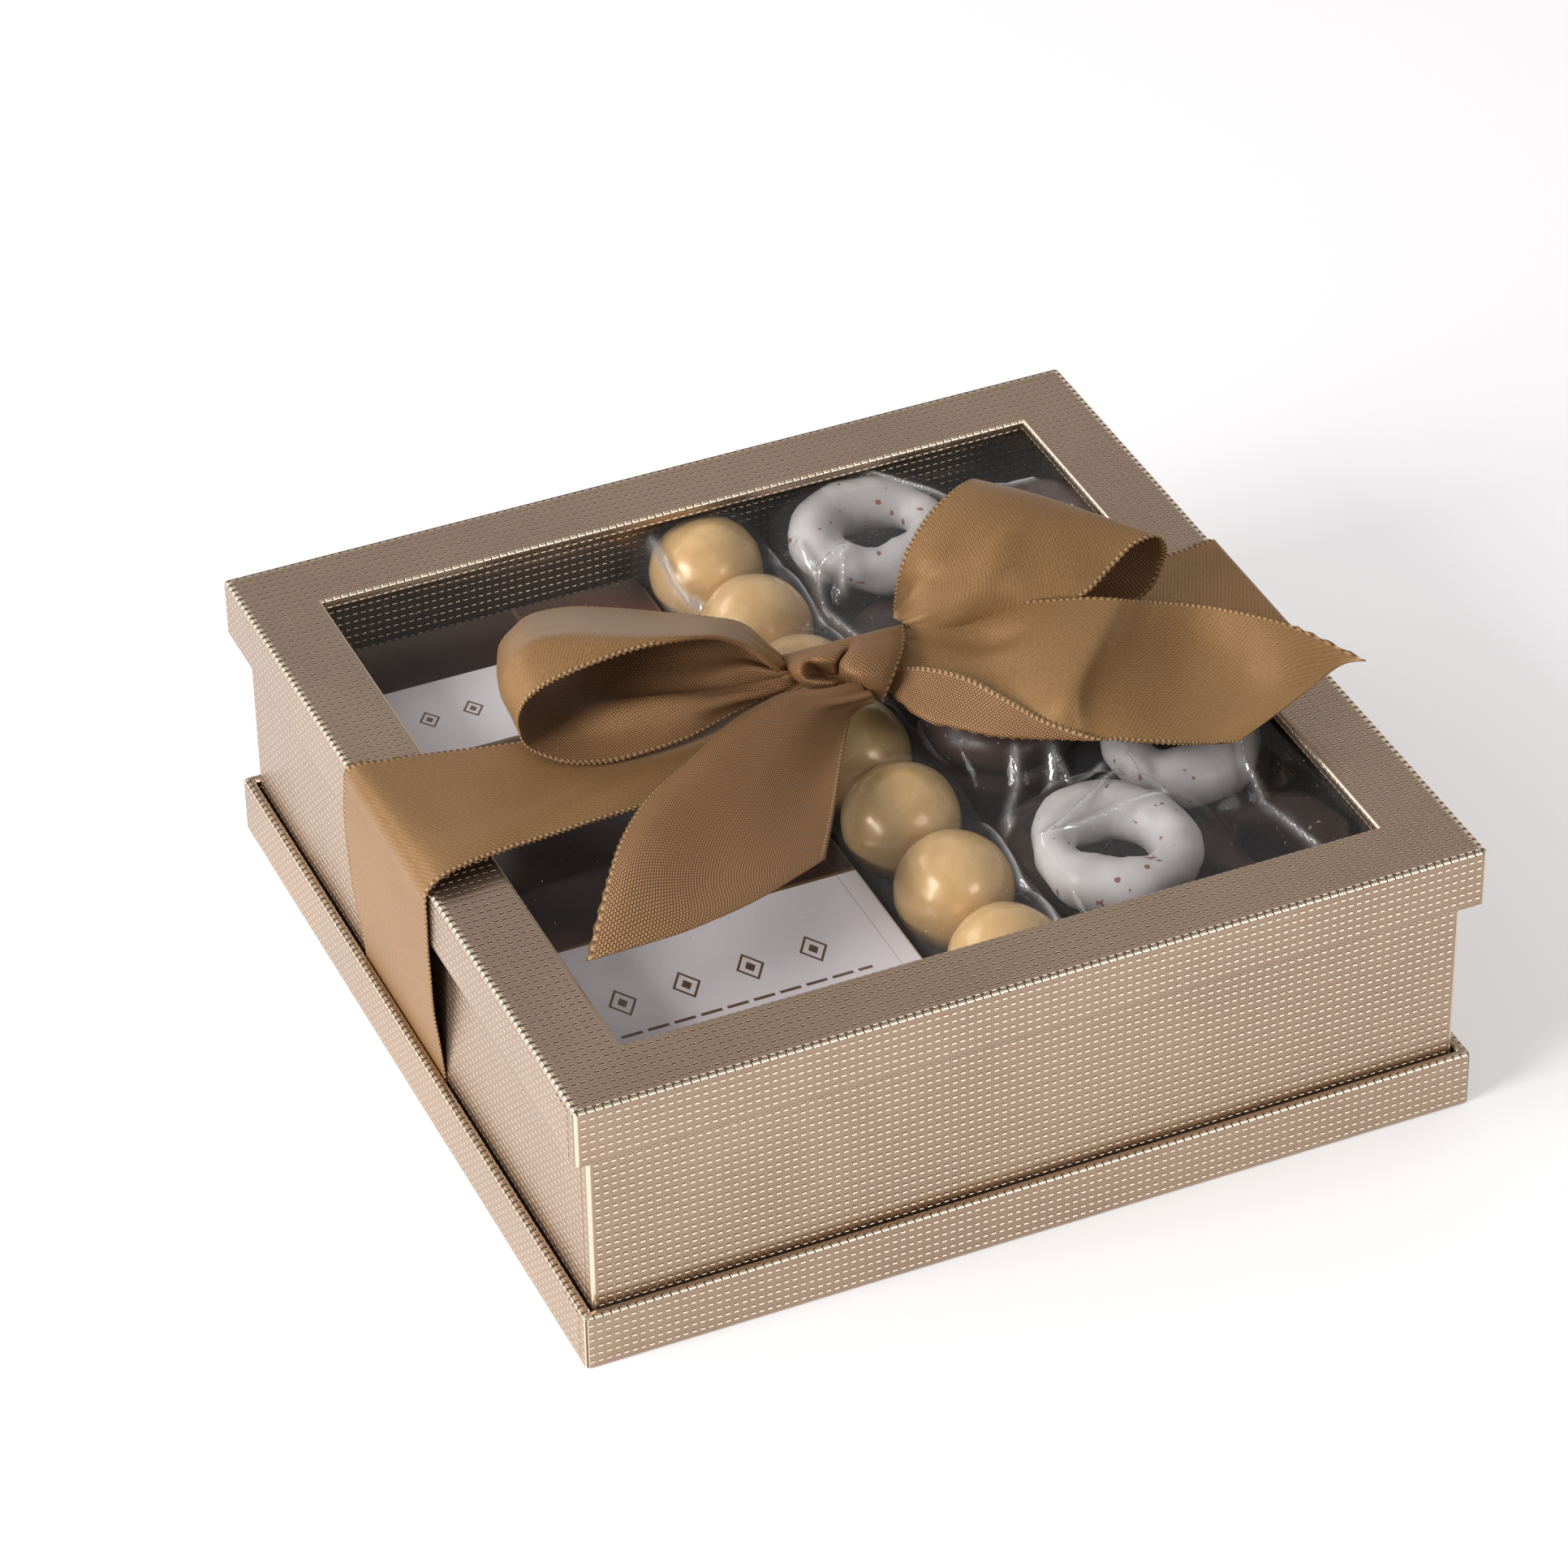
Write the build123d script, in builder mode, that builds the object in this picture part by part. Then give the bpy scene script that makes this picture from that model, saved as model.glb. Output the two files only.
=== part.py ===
# A square gift box of chocolates with a windowed lid and a tied satin ribbon.
# Millimetres, +Z up, origin at the middle of the underside, front edge along X at -Y.
import os
from build123d import *

os.makedirs("parts", exist_ok=True)

# Box: driving dimensions
lid_width = 180.0           # outside of the lid, square
box_height = 59.4           # table to the top of the lid
lid_depth = 12.5            # height of the lid's skirt
base_depth = 11.9           # height of the base tray's rim
lid_border = 15.0           # lid's frame round the window
board = 1.6                 # grey board
wrap = 0.25                 # embossed paper glued over the board
corner_radius = 1.0         # wrapped upright corners
edge_radius = 0.8           # wrapped top edges
base_inset = 0.5            # base rim stands inside the lid's side by this much
groove = 0.6                # slot between the base rim and the body, where the ribbon ends
turn_in = 12.0              # paper turned over to the hidden side of a board
sheet_inset = 3.0           # bottom sheet stands in from the base's edge

# Window and linings
film = 0.25                 # clear window sheet
film_overlap = 9.0          # glued border of the window sheet
lining = 0.25               # paper frame over the window sheet's border
lining_play = 0.9           # lining to the lid's skirt
lining_inset = 0.6          # lining stands back from the window's edge
liner = 0.25                # paper on the body's floor
liner_play = 0.3

# Riser: a folded card tray, upside down, that lifts the sweets to the window
card_thickness = 0.8
riser_play = 0.5            # riser to the body's walls
slit = 1.2                  # corner slits of the folded card

# Bar of chocolate
bar_height = 10.5
bar_side_gap = 0.7          # bar to the body's left wall and to the ball bag
bar_front_room = 8.4        # bar to the body's front wall
bar_back_room = 6.0         # bar to the body's back wall
paper = 0.15                # bar's paper wrapper
foil = 0.1
fold_play = 0.1             # gap from one wrapping to the next
bar_edge = 0.8              # soft edges of the wrapper
segment_rows = 8
segment_columns = 4
segment_rise_share = 0.45   # segments' height, share of the chocolate's height
segment_gap = 0.8           # groove between two segments at its bottom
segment_draft = 20.0        # degrees

# Sweets and their clear bags
bag_film = 0.2
bag_play = 0.1              # sweets to the bag
bag_height = 23.6           # both bags, and the riser lifts them to the window
bag_gap = 0.2               # bag to the lid's lining and to the body's walls
bag_edge = 3.0              # soft edges of a bag
ball_diameter = 22.7
ball_bag_width = 24.2
# Balls' places, back to front: x, share of the room at their sides, and y, share of the body's inner half
ball_shares = ((-0.8, 0.855), (0.9, 0.586), (0.7, 0.316), (1.0, 0.047),
               (0.6, -0.222), (0.4, -0.499), (-0.5, -0.782))
ring_diameter = 34.0        # outside of a coated ring
ring_thickness = 10.2
ring_bag_width = 67.3
ring_bag_gap = 0.3          # ring bag to the ball bag
ring_tilt = 4.0             # degrees, upper rings lean a little
upper_ring_share = 0.705    # height of the upper rings' middle, share of the bag's height
# Rings' places: x, share of the bag's width, and y, share of the body's inner half
white_ring_shares = ((0.258, -0.582), (0.655, -0.275), (0.292, 0.746))
dark_upper_shares = ((0.267, -0.012), (0.738, 0.142), (0.740, 0.549))
dark_lower_shares = ((0.258, -0.785), (0.258, -0.381), (0.258, 0.023), (0.258, 0.427),
                     (0.742, -0.583), (0.742, -0.179), (0.742, 0.225), (0.742, 0.629))

# Ribbon and bow
ribbon_width = 40.0
ribbon_thickness = 0.4
ribbon_play = 0.3           # ribbon to the lid
bow_height = 24.0           # top of the loops above the lid
knot_x = 5.6                # middle of the knot
knot_y = 4.6
knot_length = 21.0          # along X
knot_width = 14.0           # along Y
knot_height = 10.0
knot_end_share = 0.82       # the knot's ends are drawn in to this share of its middle
knot_radius = 4.0
knot_play = 0.4             # ribbon to the knot

# Sizes that follow from those above
wall = board + 2 * wrap
lid_half = lid_width / 2
lid_bottom = box_height - lid_depth
lid_inner_half = lid_half - wall
lid_underside = box_height - wall
window_half = lid_half - lid_border
base_half = lid_half - base_inset
base_inner_half = base_half - wall
body_half = base_inner_half - groove
body_inner_half = body_half - wall
sheet_top = wrap
base_board_bottom = sheet_top + wrap
base_floor = base_board_bottom + board
body_board_bottom = base_floor + wrap
body_floor = body_board_bottom + board
body_rim = lid_underside - film - lining
liner_top = body_floor + liner
bag_top = body_rim - bag_gap
riser_top = bag_top - bag_height
bag_half_length = body_inner_half - bag_gap
ring_bag_left = bag_half_length - ring_bag_width
ball_bag_left = ring_bag_left - ring_bag_gap - ball_bag_width
ball_bag_x = ball_bag_left + ball_bag_width / 2
bar_left = bar_side_gap - body_inner_half
bar_width = ball_bag_left - bar_side_gap - bar_left
bar_x = bar_left + bar_width / 2
bar_length = 2 * body_inner_half - bar_front_room - bar_back_room
bar_y = (bar_front_room - bar_back_room) / 2


def square_block(half, bottom, top, radius=0.0):
    """A square block about the Z axis, with round upright corners where a radius is given."""
    with BuildPart() as block:
        with BuildSketch(Plane.XY.offset(bottom)):
            if radius > 0:
                RectangleRounded(2 * half, 2 * half, radius)
            else:
                Rectangle(2 * half, 2 * half)
        extrude(amount=top - bottom)
    return block.part


# Bottom sheet, glued under the base
with BuildPart() as bottom_sheet:
    add(square_block(base_half - sheet_inset, 0, sheet_top))

# Base tray: board, then the paper over its rim
with BuildPart() as base_board:
    add(square_block(base_half - wrap, base_board_bottom, base_depth - wrap, corner_radius - wrap))
    add(square_block(base_inner_half + wrap, base_floor, base_depth), mode=Mode.SUBTRACT)
    fillet(base_board.faces().sort_by(Axis.Z)[-1].edges(), edge_radius - wrap)

with BuildPart() as base_wrap:
    add(square_block(base_half, sheet_top, base_depth, corner_radius))
    add(square_block(base_inner_half, base_floor, base_depth), mode=Mode.SUBTRACT)
    fillet(base_wrap.faces().sort_by(Axis.Z)[-1].edges(), edge_radius)
    add(square_block(base_half - turn_in, sheet_top, base_depth), mode=Mode.SUBTRACT)
    add(base_board.part, mode=Mode.SUBTRACT)

# Body: the deep inner box that stands in the base tray
with BuildPart() as body_board:
    add(square_block(body_half - wrap, body_board_bottom, body_rim - wrap, corner_radius - wrap))
    add(square_block(body_inner_half + wrap, body_floor, body_rim), mode=Mode.SUBTRACT)

with BuildPart() as body_wrap:
    add(square_block(body_half, base_floor, body_rim, corner_radius))
    add(square_block(body_inner_half, body_floor, body_rim), mode=Mode.SUBTRACT)
    add(square_block(body_half - turn_in, base_floor, body_rim), mode=Mode.SUBTRACT)
    add(body_board.part, mode=Mode.SUBTRACT)

with BuildPart() as floor_liner:
    add(square_block(body_inner_half - liner_play, body_floor, liner_top))

# Riser: top panel with four folded skirts that stand on the liner
riser_half = body_inner_half - riser_play
with BuildPart() as riser:
    add(square_block(riser_half, riser_top - card_thickness, riser_top))
    for quarter in range(4):
        with BuildSketch(Plane.XY.offset(liner_top)):
            with PolarLocations(riser_half - card_thickness / 2, 1, start_angle=90 * quarter):
                Rectangle(card_thickness, 2 * (riser_half - slit))
        extrude(amount=riser_top - liner_top)

# Lid: board frame with a skirt, then its paper
with BuildPart() as lid_board:
    add(square_block(lid_half - wrap, lid_bottom + wrap, box_height - wrap, corner_radius - wrap))
    add(square_block(lid_inner_half + wrap, lid_bottom, lid_underside + wrap), mode=Mode.SUBTRACT)
    add(square_block(window_half + wrap, lid_underside, box_height), mode=Mode.SUBTRACT)
    for rim in (lid_board.faces().sort_by(Axis.Z)[-1], lid_board.faces().sort_by(Axis.Z)[0]):
        fillet(rim.edges(), edge_radius - wrap)

with BuildPart() as lid_wrap:
    add(square_block(lid_half, lid_bottom, box_height, corner_radius))
    add(square_block(lid_inner_half, lid_bottom, lid_underside), mode=Mode.SUBTRACT)
    add(square_block(window_half, lid_underside, box_height), mode=Mode.SUBTRACT)
    for rim in (lid_wrap.faces().sort_by(Axis.Z)[-1], lid_wrap.faces().sort_by(Axis.Z)[0]):
        fillet(rim.edges(), edge_radius)
    add(lid_board.part, mode=Mode.SUBTRACT)
    with BuildSketch(Plane.XY.offset(lid_underside)):
        Rectangle(2 * lid_inner_half, 2 * lid_inner_half)
        Rectangle(2 * (window_half + turn_in), 2 * (window_half + turn_in), mode=Mode.SUBTRACT)
    extrude(amount=wrap, mode=Mode.SUBTRACT)

with BuildPart() as window_film:
    add(square_block(window_half + film_overlap, lid_underside - film, lid_underside))

with BuildPart() as lid_lining:
    add(square_block(lid_inner_half - lining_play, body_rim, body_rim + lining))
    add(square_block(window_half + lining_inset, body_rim, body_rim + lining), mode=Mode.SUBTRACT)

# Bar: paper sleeve, foil and scored chocolate, one inside the other


def bar_block(inset):
    """The bar's block, drawn in by one inset on all sides."""
    with BuildPart() as block:
        with BuildSketch(Plane.XY.offset(riser_top + inset)):
            with Locations((bar_x, bar_y)):
                Rectangle(bar_width - 2 * inset, bar_length - 2 * inset)
        extrude(amount=bar_height - 2 * inset)
        fillet(block.edges(), bar_edge - inset)
    return block.part


with BuildPart() as bar_wrapper:
    add(bar_block(0))
    add(bar_block(paper), mode=Mode.SUBTRACT)

foil_inset = paper + fold_play
with BuildPart() as bar_foil:
    add(bar_block(foil_inset))
    add(bar_block(foil_inset + foil), mode=Mode.SUBTRACT)

chocolate_inset = foil_inset + foil + fold_play
chocolate_height = bar_height - 2 * chocolate_inset
segment_rise = segment_rise_share * chocolate_height
slab_top = riser_top + bar_height - chocolate_inset - segment_rise
segment_x = (bar_width - 2 * chocolate_inset) / segment_columns
segment_y = (bar_length - 2 * chocolate_inset) / segment_rows
with BuildPart() as bar_chocolate:
    add(bar_block(chocolate_inset))
    with BuildSketch(Plane.XY.offset(slab_top)):
        with Locations((bar_x, bar_y)):
            Rectangle(bar_width, bar_length)
    extrude(amount=segment_rise, mode=Mode.SUBTRACT)
    with BuildSketch(Plane.XY.offset(slab_top)):
        with Locations((bar_x, bar_y)):
            with GridLocations(segment_x, segment_y, segment_columns, segment_rows):
                Rectangle(segment_x - segment_gap, segment_y - segment_gap)
    extrude(amount=segment_rise, taper=segment_draft)

# Clear bags: closed film pillows that stand on the riser
bag_bottom = riser_top


def bag_block(left, width, inset):
    """A bag's block with soft edges, drawn in by one inset on all sides."""
    with BuildPart() as block:
        with BuildSketch(Plane.XY.offset(bag_bottom + inset)):
            with Locations((left + width / 2, 0)):
                Rectangle(width - 2 * inset, 2 * (bag_half_length - inset))
        extrude(amount=bag_top - bag_bottom - 2 * inset)
        fillet(block.edges(), bag_edge - inset)
    return block.part


with BuildPart() as ball_bag:
    add(bag_block(ball_bag_left, ball_bag_width, 0))
    add(bag_block(ball_bag_left, ball_bag_width, bag_film), mode=Mode.SUBTRACT)

with BuildPart() as ring_bag:
    add(bag_block(ring_bag_left, ring_bag_width, 0))
    add(bag_block(ring_bag_left, ring_bag_width, bag_film), mode=Mode.SUBTRACT)

# Balls in one row
ball_room = (ball_bag_width - ball_diameter) / 2 - bag_film - bag_play
ball_z = bag_bottom + bag_film + bag_play / 2 + ball_diameter / 2
with BuildPart() as chocolate_balls:
    for across, along in ball_shares:
        with Locations((ball_bag_x + across * ball_room, along * body_inner_half, ball_z)):
            Sphere(ball_diameter / 2)

# Coated rings in two layers: the lower ones lie flat, the upper ones lean on them
ring_tube = ring_thickness / 2
ring_middle = ring_diameter / 2 - ring_tube
lower_ring_z = bag_bottom + bag_film + bag_play + ring_tube
upper_ring_z = bag_bottom + upper_ring_share * (bag_top - bag_bottom)


def ring_places(shares, height, tilt):
    """Places of a group of rings."""
    places = []
    for across, along in shares:
        middle = (ring_bag_left + across * ring_bag_width, along * body_inner_half, height)
        places.append(Location(middle, (tilt, 0, 0)))
    return places


with BuildPart() as white_rings:
    with Locations(ring_places(white_ring_shares, upper_ring_z, ring_tilt)):
        Torus(ring_middle, ring_tube)

with BuildPart() as dark_rings:
    with Locations(ring_places(dark_upper_shares, upper_ring_z, ring_tilt)):
        Torus(ring_middle, ring_tube)

with BuildPart() as dark_rings_lower:
    with Locations(ring_places(dark_lower_shares, lower_ring_z, 0)):
        Torus(ring_middle, ring_tube)

# Knot: a band drawn in at both ends
knot_bottom = box_height + ribbon_play
knot_half = knot_length / 2
knot_stations = ((-knot_half, knot_end_share), (0, 1), (knot_half, knot_end_share))
with BuildPart() as bow_knot:
    for along, share in knot_stations:
        height = share * knot_height
        middle = (knot_x + along, knot_y, knot_bottom + height / 2)
        with BuildSketch(Plane(origin=middle, x_dir=(0, 1, 0), z_dir=(1, 0, 0))):
            RectangleRounded(share * knot_width, height, share * knot_radius)
    loft()


def bow_point(x_share, y_share, rise_share):
    """A free point of the bow, in shares of the ribbon's width and the bow's height."""
    return Vector(x_share * ribbon_width, y_share * ribbon_width, box_height + rise_share * bow_height)


def knot_pair(side, shares):
    """The two edge points of a ribbon where it leaves the knot's end: side -1 is left, +1 is right."""
    x = knot_x + side * (knot_half + knot_play)
    return [Vector(x, knot_y + depth * knot_end_share * knot_width / 2,
                   knot_bottom + height * knot_end_share * knot_height) for depth, height in shares]


def free_pairs(rows):
    """Pairs of edge points from rows of two points in shares."""
    return [(bow_point(*front), bow_point(*back)) for front, back in rows]


def strip_stations(pairs):
    """Where a strip of ribbon is cut across: each station's plane and the strip's width there."""
    middles = [(front + back) * 0.5 for front, back in pairs]
    stations = []
    for place, (front, back) in enumerate(pairs):
        across = back - front
        ahead = middles[min(place + 1, len(pairs) - 1)] - middles[max(place - 1, 0)]
        ahead = ahead - across * (ahead.dot(across) / across.dot(across))
        stations.append((Plane(origin=middles[place], x_dir=across, z_dir=ahead), across.length))
    return stations


def ribbon_strip(pairs, ruled=True):
    """A strip of ribbon through pairs of edge points, in straight spans where ruled."""
    with BuildPart() as strip:
        for plane, width in strip_stations(pairs):
            with BuildSketch(plane):
                Rectangle(width, ribbon_thickness)
        loft(ruled=ruled)
    return strip.part


# Left loop: out along the upper layer, round the bend and back along the lower one.
# Each row is the front edge and the back edge.
left_loop_shares = (
    ((-0.44, 0.12, 0.72), (-0.32, 0.50, 0.48)),
    ((-0.70, 0.11, 0.90), (-0.48, 0.70, 0.43)),
    ((-1.06, 0.09, 0.98), (-0.72, 0.92, 0.39)),
    ((-1.32, 0.11, 0.92), (-0.96, 1.01, 0.40)),
    ((-1.47, 0.16, 0.74), (-1.15, 1.06, 0.38)),
    ((-1.52, 0.24, 0.46), (-1.25, 1.10, 0.26)),
    ((-1.45, 0.22, 0.20), (-1.20, 1.12, 0.15)),
    ((-1.26, 0.06, 0.13), (-1.00, 1.05, 0.12)),
    ((-0.92, -0.03, 0.12), (-0.68, 0.96, 0.12)),
    ((-0.55, 0.00, 0.13), (-0.40, 0.70, 0.12)),
)
# Where its two ends leave the knot: depth and height, shares of the knot's end
left_upper_shares = ((-0.5, 0.95), (0.7, 0.9))
left_lower_shares = ((-0.5, 0.55), (0.7, 0.5))
with BuildPart() as bow_loop_left:
    upper = knot_pair(-1, left_upper_shares)
    lower = knot_pair(-1, left_lower_shares)
    add(ribbon_strip([upper, *free_pairs(left_loop_shares), lower]))

# Right loop, the same way round. Each row is the left edge and the right edge.
right_loop_shares = (
    ((0.51, 0.37, 0.53), (0.62, 0.17, 0.36)),
    ((0.67, 0.54, 0.69), (0.93, 0.26, 0.30)),
    ((0.89, 0.73, 0.75), (1.19, 0.24, 0.33)),
    ((1.09, 0.90, 0.71), (1.45, 0.16, 0.52)),
    ((1.20, 0.99, 0.61), (1.67, 0.12, 0.67)),
    ((1.26, 1.04, 0.44), (1.75, 0.12, 0.61)),
    ((1.25, 1.02, 0.25), (1.75, 0.14, 0.36)),
    ((1.12, 0.93, 0.14), (1.62, 0.12, 0.15)),
    ((0.85, 0.68, 0.12), (1.25, 0.05, 0.12)),
    ((0.58, 0.35, 0.12), (0.75, 0.00, 0.13)),
)
right_upper_shares = ((1.0, 0.95), (0.45, 0.9))
right_lower_shares = ((1.0, 0.5), (0.1, 0.45))
with BuildPart() as bow_loop_right:
    upper = knot_pair(1, right_upper_shares)
    lower = knot_pair(1, right_lower_shares)
    add(ribbon_strip([upper, *free_pairs(right_loop_shares), lower]))

# Right tail, lying over the right loop's lower layer and cut on a slant.
# Each row is the back edge and the front edge.
right_tail_shares = (
    ((0.55, 0.10, 0.40), (0.59, -0.38, 0.19)),
    ((0.76, 0.18, 0.43), (0.69, -0.45, 0.17)),
    ((1.03, 0.11, 0.43), (0.81, -0.61, 0.15)),
    ((1.33, 0.02, 0.41), (0.98, -0.78, 0.11)),
    ((1.62, -0.08, 0.35), (1.16, -0.89, 0.08)),
    ((1.90, -0.22, 0.30), (1.34, -0.98, 0.08)),
    ((2.16, -0.52, 0.33), (1.47, -1.06, 0.09)),
    ((2.22, -1.06, 0.50), (1.55, -1.11, 0.11)),
)
right_tail_start_shares = ((0.2, 0.85), (-1.0, 0.6))
with BuildPart() as ribbon_tail_right:
    add(ribbon_strip([knot_pair(1, right_tail_start_shares), *free_pairs(right_tail_shares)], ruled=False))

# Left tail, rolled where it leaves the knot's front and lying over the left run.
# Each row is the left edge and the right edge.
left_tail_shares = (
    ((0.14, -0.073, 0.21), (0.15, -0.085, 0.07)),
    ((0.00, -0.10, 0.27), (0.08, -0.18, 0.10)),
    ((-0.18, -0.09, 0.30), (0.00, -0.27, 0.13)),
    ((-0.36, -0.10, 0.31), (-0.06, -0.36, 0.16)),
    ((-0.54, -0.15, 0.30), (-0.11, -0.45, 0.19)),
    ((-0.72, -0.23, 0.28), (-0.18, -0.56, 0.21)),
    ((-1.01, -0.44, 0.28), (-0.27, -0.72, 0.23)),
    ((-1.27, -0.68, 0.30), (-0.38, -0.92, 0.25)),
    ((-1.42, -0.86, 0.27), (-0.45, -1.04, 0.23)),
    ((-1.62, -1.09, 0.19), (-0.51, -1.13, 0.20)),
    ((-1.81, -1.37, 0.11), (-0.55, -1.16, 0.17)),
)
with BuildPart() as ribbon_tail_left:
    add(ribbon_strip(free_pairs(left_tail_shares), ruled=False))

# Side runs: out of the groove, up past the lid's edge, over it and in to the knot
run_top_z = box_height + ribbon_play + ribbon_thickness / 2
run_side_x = lid_half + ribbon_play + ribbon_thickness / 2
run_groove_x = body_half + groove / 2
run_bend = edge_radius + ribbon_play            # radius round the lid's edge
run_bend_inset = run_bend * (1 - 0.5 ** 0.5)    # middle of the bend, in from its corner
# Up the side: front edge and back edge, shares of the ribbon's width
left_side_shares = ((-0.37, 0.66), (-0.39, 0.65), (-0.50, 0.58),
                    (-0.52, 0.54), (-0.52, 0.53), (-0.52, 0.52))
right_side_shares = ((-0.40, 0.62), (-0.41, 0.61), (-0.47, 0.55),
                     (-0.49, 0.52), (-0.49, 0.51), (-0.49, 0.51))
# Over the lid: x, share of the lid's half, then the front edge, the back edge and the
# front edge's lift, shares of the ribbon's width
left_top_shares = (
    (0.84, -0.47, 0.47, 0.02),
    (0.64, -0.43, 0.38, 0.05),
    (0.47, -0.40, 0.31, 0.06),
    (0.28, -0.30, 0.24, 0.05),
)
right_top_shares = (
    (0.84, -0.46, 0.47, 0.0),
    (0.64, -0.38, 0.38, 0.0),
    (0.47, -0.33, 0.31, 0.0),
    (0.31, -0.25, 0.25, 0.0),
)
run_end_shares = ((-1.1, 0.1), (0.9, 0.08))     # at the knot: depth and height


def run_pairs(side, side_shares, top_shares):
    """Pairs of edge points of a side run: side -1 is left, +1 is right."""
    places = (
        (run_groove_x, base_floor + ribbon_play),
        (run_groove_x, base_depth),
        (run_side_x, lid_bottom - ribbon_play),
        (run_side_x, run_top_z - run_bend),
        (run_side_x - run_bend_inset, run_top_z - run_bend_inset),
        (run_side_x - run_bend, run_top_z),
    )
    pairs = []
    for (x, z), (front, back) in zip(places, side_shares):
        pairs.append([Vector(side * x, edge * ribbon_width, z) for edge in (front, back)])
    for x, front, back, lift in top_shares:
        pairs.append([Vector(side * x * lid_half, edge * ribbon_width, run_top_z + rise * ribbon_width)
                      for edge, rise in ((front, lift), (back, 0))])
    pairs.append(knot_pair(side, run_end_shares))
    return pairs


with BuildPart() as ribbon_left_run:
    add(ribbon_strip(run_pairs(-1, left_side_shares, left_top_shares)))

with BuildPart() as ribbon_right_run:
    add(ribbon_strip(run_pairs(1, right_side_shares, right_top_shares)))

pieces = {
    "bottom_sheet": bottom_sheet,
    "base_board": base_board,
    "base_wrap": base_wrap,
    "body_board": body_board,
    "body_wrap": body_wrap,
    "floor_liner": floor_liner,
    "riser": riser,
    "lid_board": lid_board,
    "lid_wrap": lid_wrap,
    "window_film": window_film,
    "lid_lining": lid_lining,
    "bar_wrapper": bar_wrapper,
    "bar_foil": bar_foil,
    "bar_chocolate": bar_chocolate,
    "ball_bag": ball_bag,
    "chocolate_balls": chocolate_balls,
    "ring_bag": ring_bag,
    "white_rings": white_rings,
    "dark_rings": dark_rings,
    "dark_rings_lower": dark_rings_lower,
    "bow_knot": bow_knot,
    "bow_loop_left": bow_loop_left,
    "bow_loop_right": bow_loop_right,
    "ribbon_tail_left": ribbon_tail_left,
    "ribbon_tail_right": ribbon_tail_right,
    "ribbon_left_run": ribbon_left_run,
    "ribbon_right_run": ribbon_right_run,
}
for name, piece in pieces.items():
    piece.part.label = name
    export_step(piece.part, f"parts/{name}.step")
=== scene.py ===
import math
import bpy
import bmesh
from mathutils import Matrix, Vector, noise


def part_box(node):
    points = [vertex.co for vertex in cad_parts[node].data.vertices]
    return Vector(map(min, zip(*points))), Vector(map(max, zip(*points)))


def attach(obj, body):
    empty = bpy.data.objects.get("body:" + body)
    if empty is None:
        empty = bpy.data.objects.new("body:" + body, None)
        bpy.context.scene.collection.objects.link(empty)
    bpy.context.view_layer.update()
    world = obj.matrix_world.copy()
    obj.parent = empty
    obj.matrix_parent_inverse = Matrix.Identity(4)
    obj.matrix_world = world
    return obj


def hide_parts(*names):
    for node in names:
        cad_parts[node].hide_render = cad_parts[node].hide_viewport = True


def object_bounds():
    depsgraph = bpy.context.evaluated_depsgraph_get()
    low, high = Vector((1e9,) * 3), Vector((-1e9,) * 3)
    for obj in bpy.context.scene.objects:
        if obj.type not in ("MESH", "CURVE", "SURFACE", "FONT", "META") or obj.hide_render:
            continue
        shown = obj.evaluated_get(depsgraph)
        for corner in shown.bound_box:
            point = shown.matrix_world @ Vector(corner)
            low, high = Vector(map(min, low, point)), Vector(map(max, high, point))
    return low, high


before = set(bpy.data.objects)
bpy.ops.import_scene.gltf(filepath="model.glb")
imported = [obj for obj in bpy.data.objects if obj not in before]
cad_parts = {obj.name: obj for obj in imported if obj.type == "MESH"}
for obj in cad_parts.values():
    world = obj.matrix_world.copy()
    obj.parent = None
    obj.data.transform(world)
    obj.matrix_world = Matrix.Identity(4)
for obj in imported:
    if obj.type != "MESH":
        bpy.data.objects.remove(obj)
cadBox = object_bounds()

mm = 0.001
white = (1.0, 1.0, 1.0)
middling = (0.3, 0.7)       # what most of a noise lies between


# Camera, lamps and floor

camera = {
    "place": (-0.3812, -0.8643, 0.7402),
    "forward": (0.31689741, 0.7393167, -0.59412696),
    "right": (0.91465094, -0.4039723, -0.01483346),
    "focalPixels": 7624.65,
    "imagePixels": 1932,
    "sensor": 36.0,
    "clip": (0.05, 20.0),
}

lamps = {     # towards: direction from the box to the lamp, away and size: metres
    "keyLeft": {"towards": (-0.90, -0.16, 0.41), "away": 1.5, "size": (0.7, 0.9),
                "power": 25.0, "tint": (1.0, 0.975, 0.985)},
    "fillFront": {"towards": (0.35, -0.80, 0.47), "away": 1.6, "size": (0.5, 0.5),
                  "power": 4.4, "tint": (1.0, 0.99, 0.98)},
    "backTop": {"towards": (-0.55, 0.62, 0.56), "away": 1.7, "size": (1.0, 0.5),
                "power": 4.5, "tint": (0.98, 0.99, 1.0)},
}

surroundings = {
    "floorSize": 6.0, "floorColour": (0.90, 0.90, 0.905), "floorRoughness": 0.9,
    "floorShader": {"Emission Color": white, "Emission Strength": 0.25},      # a lit table
    "worldFront": (0.34, 0.33, 0.325), "worldBack": (0.84, 0.81, 0.81), "worldStrength": 0.66,
    "worldRise": 0.35, "worldTurn": (-0.55, 0.65),
}


def addObject(name, data):
    made = bpy.data.objects.new(name, data)
    bpy.context.scene.collection.objects.link(made)
    return made


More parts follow.
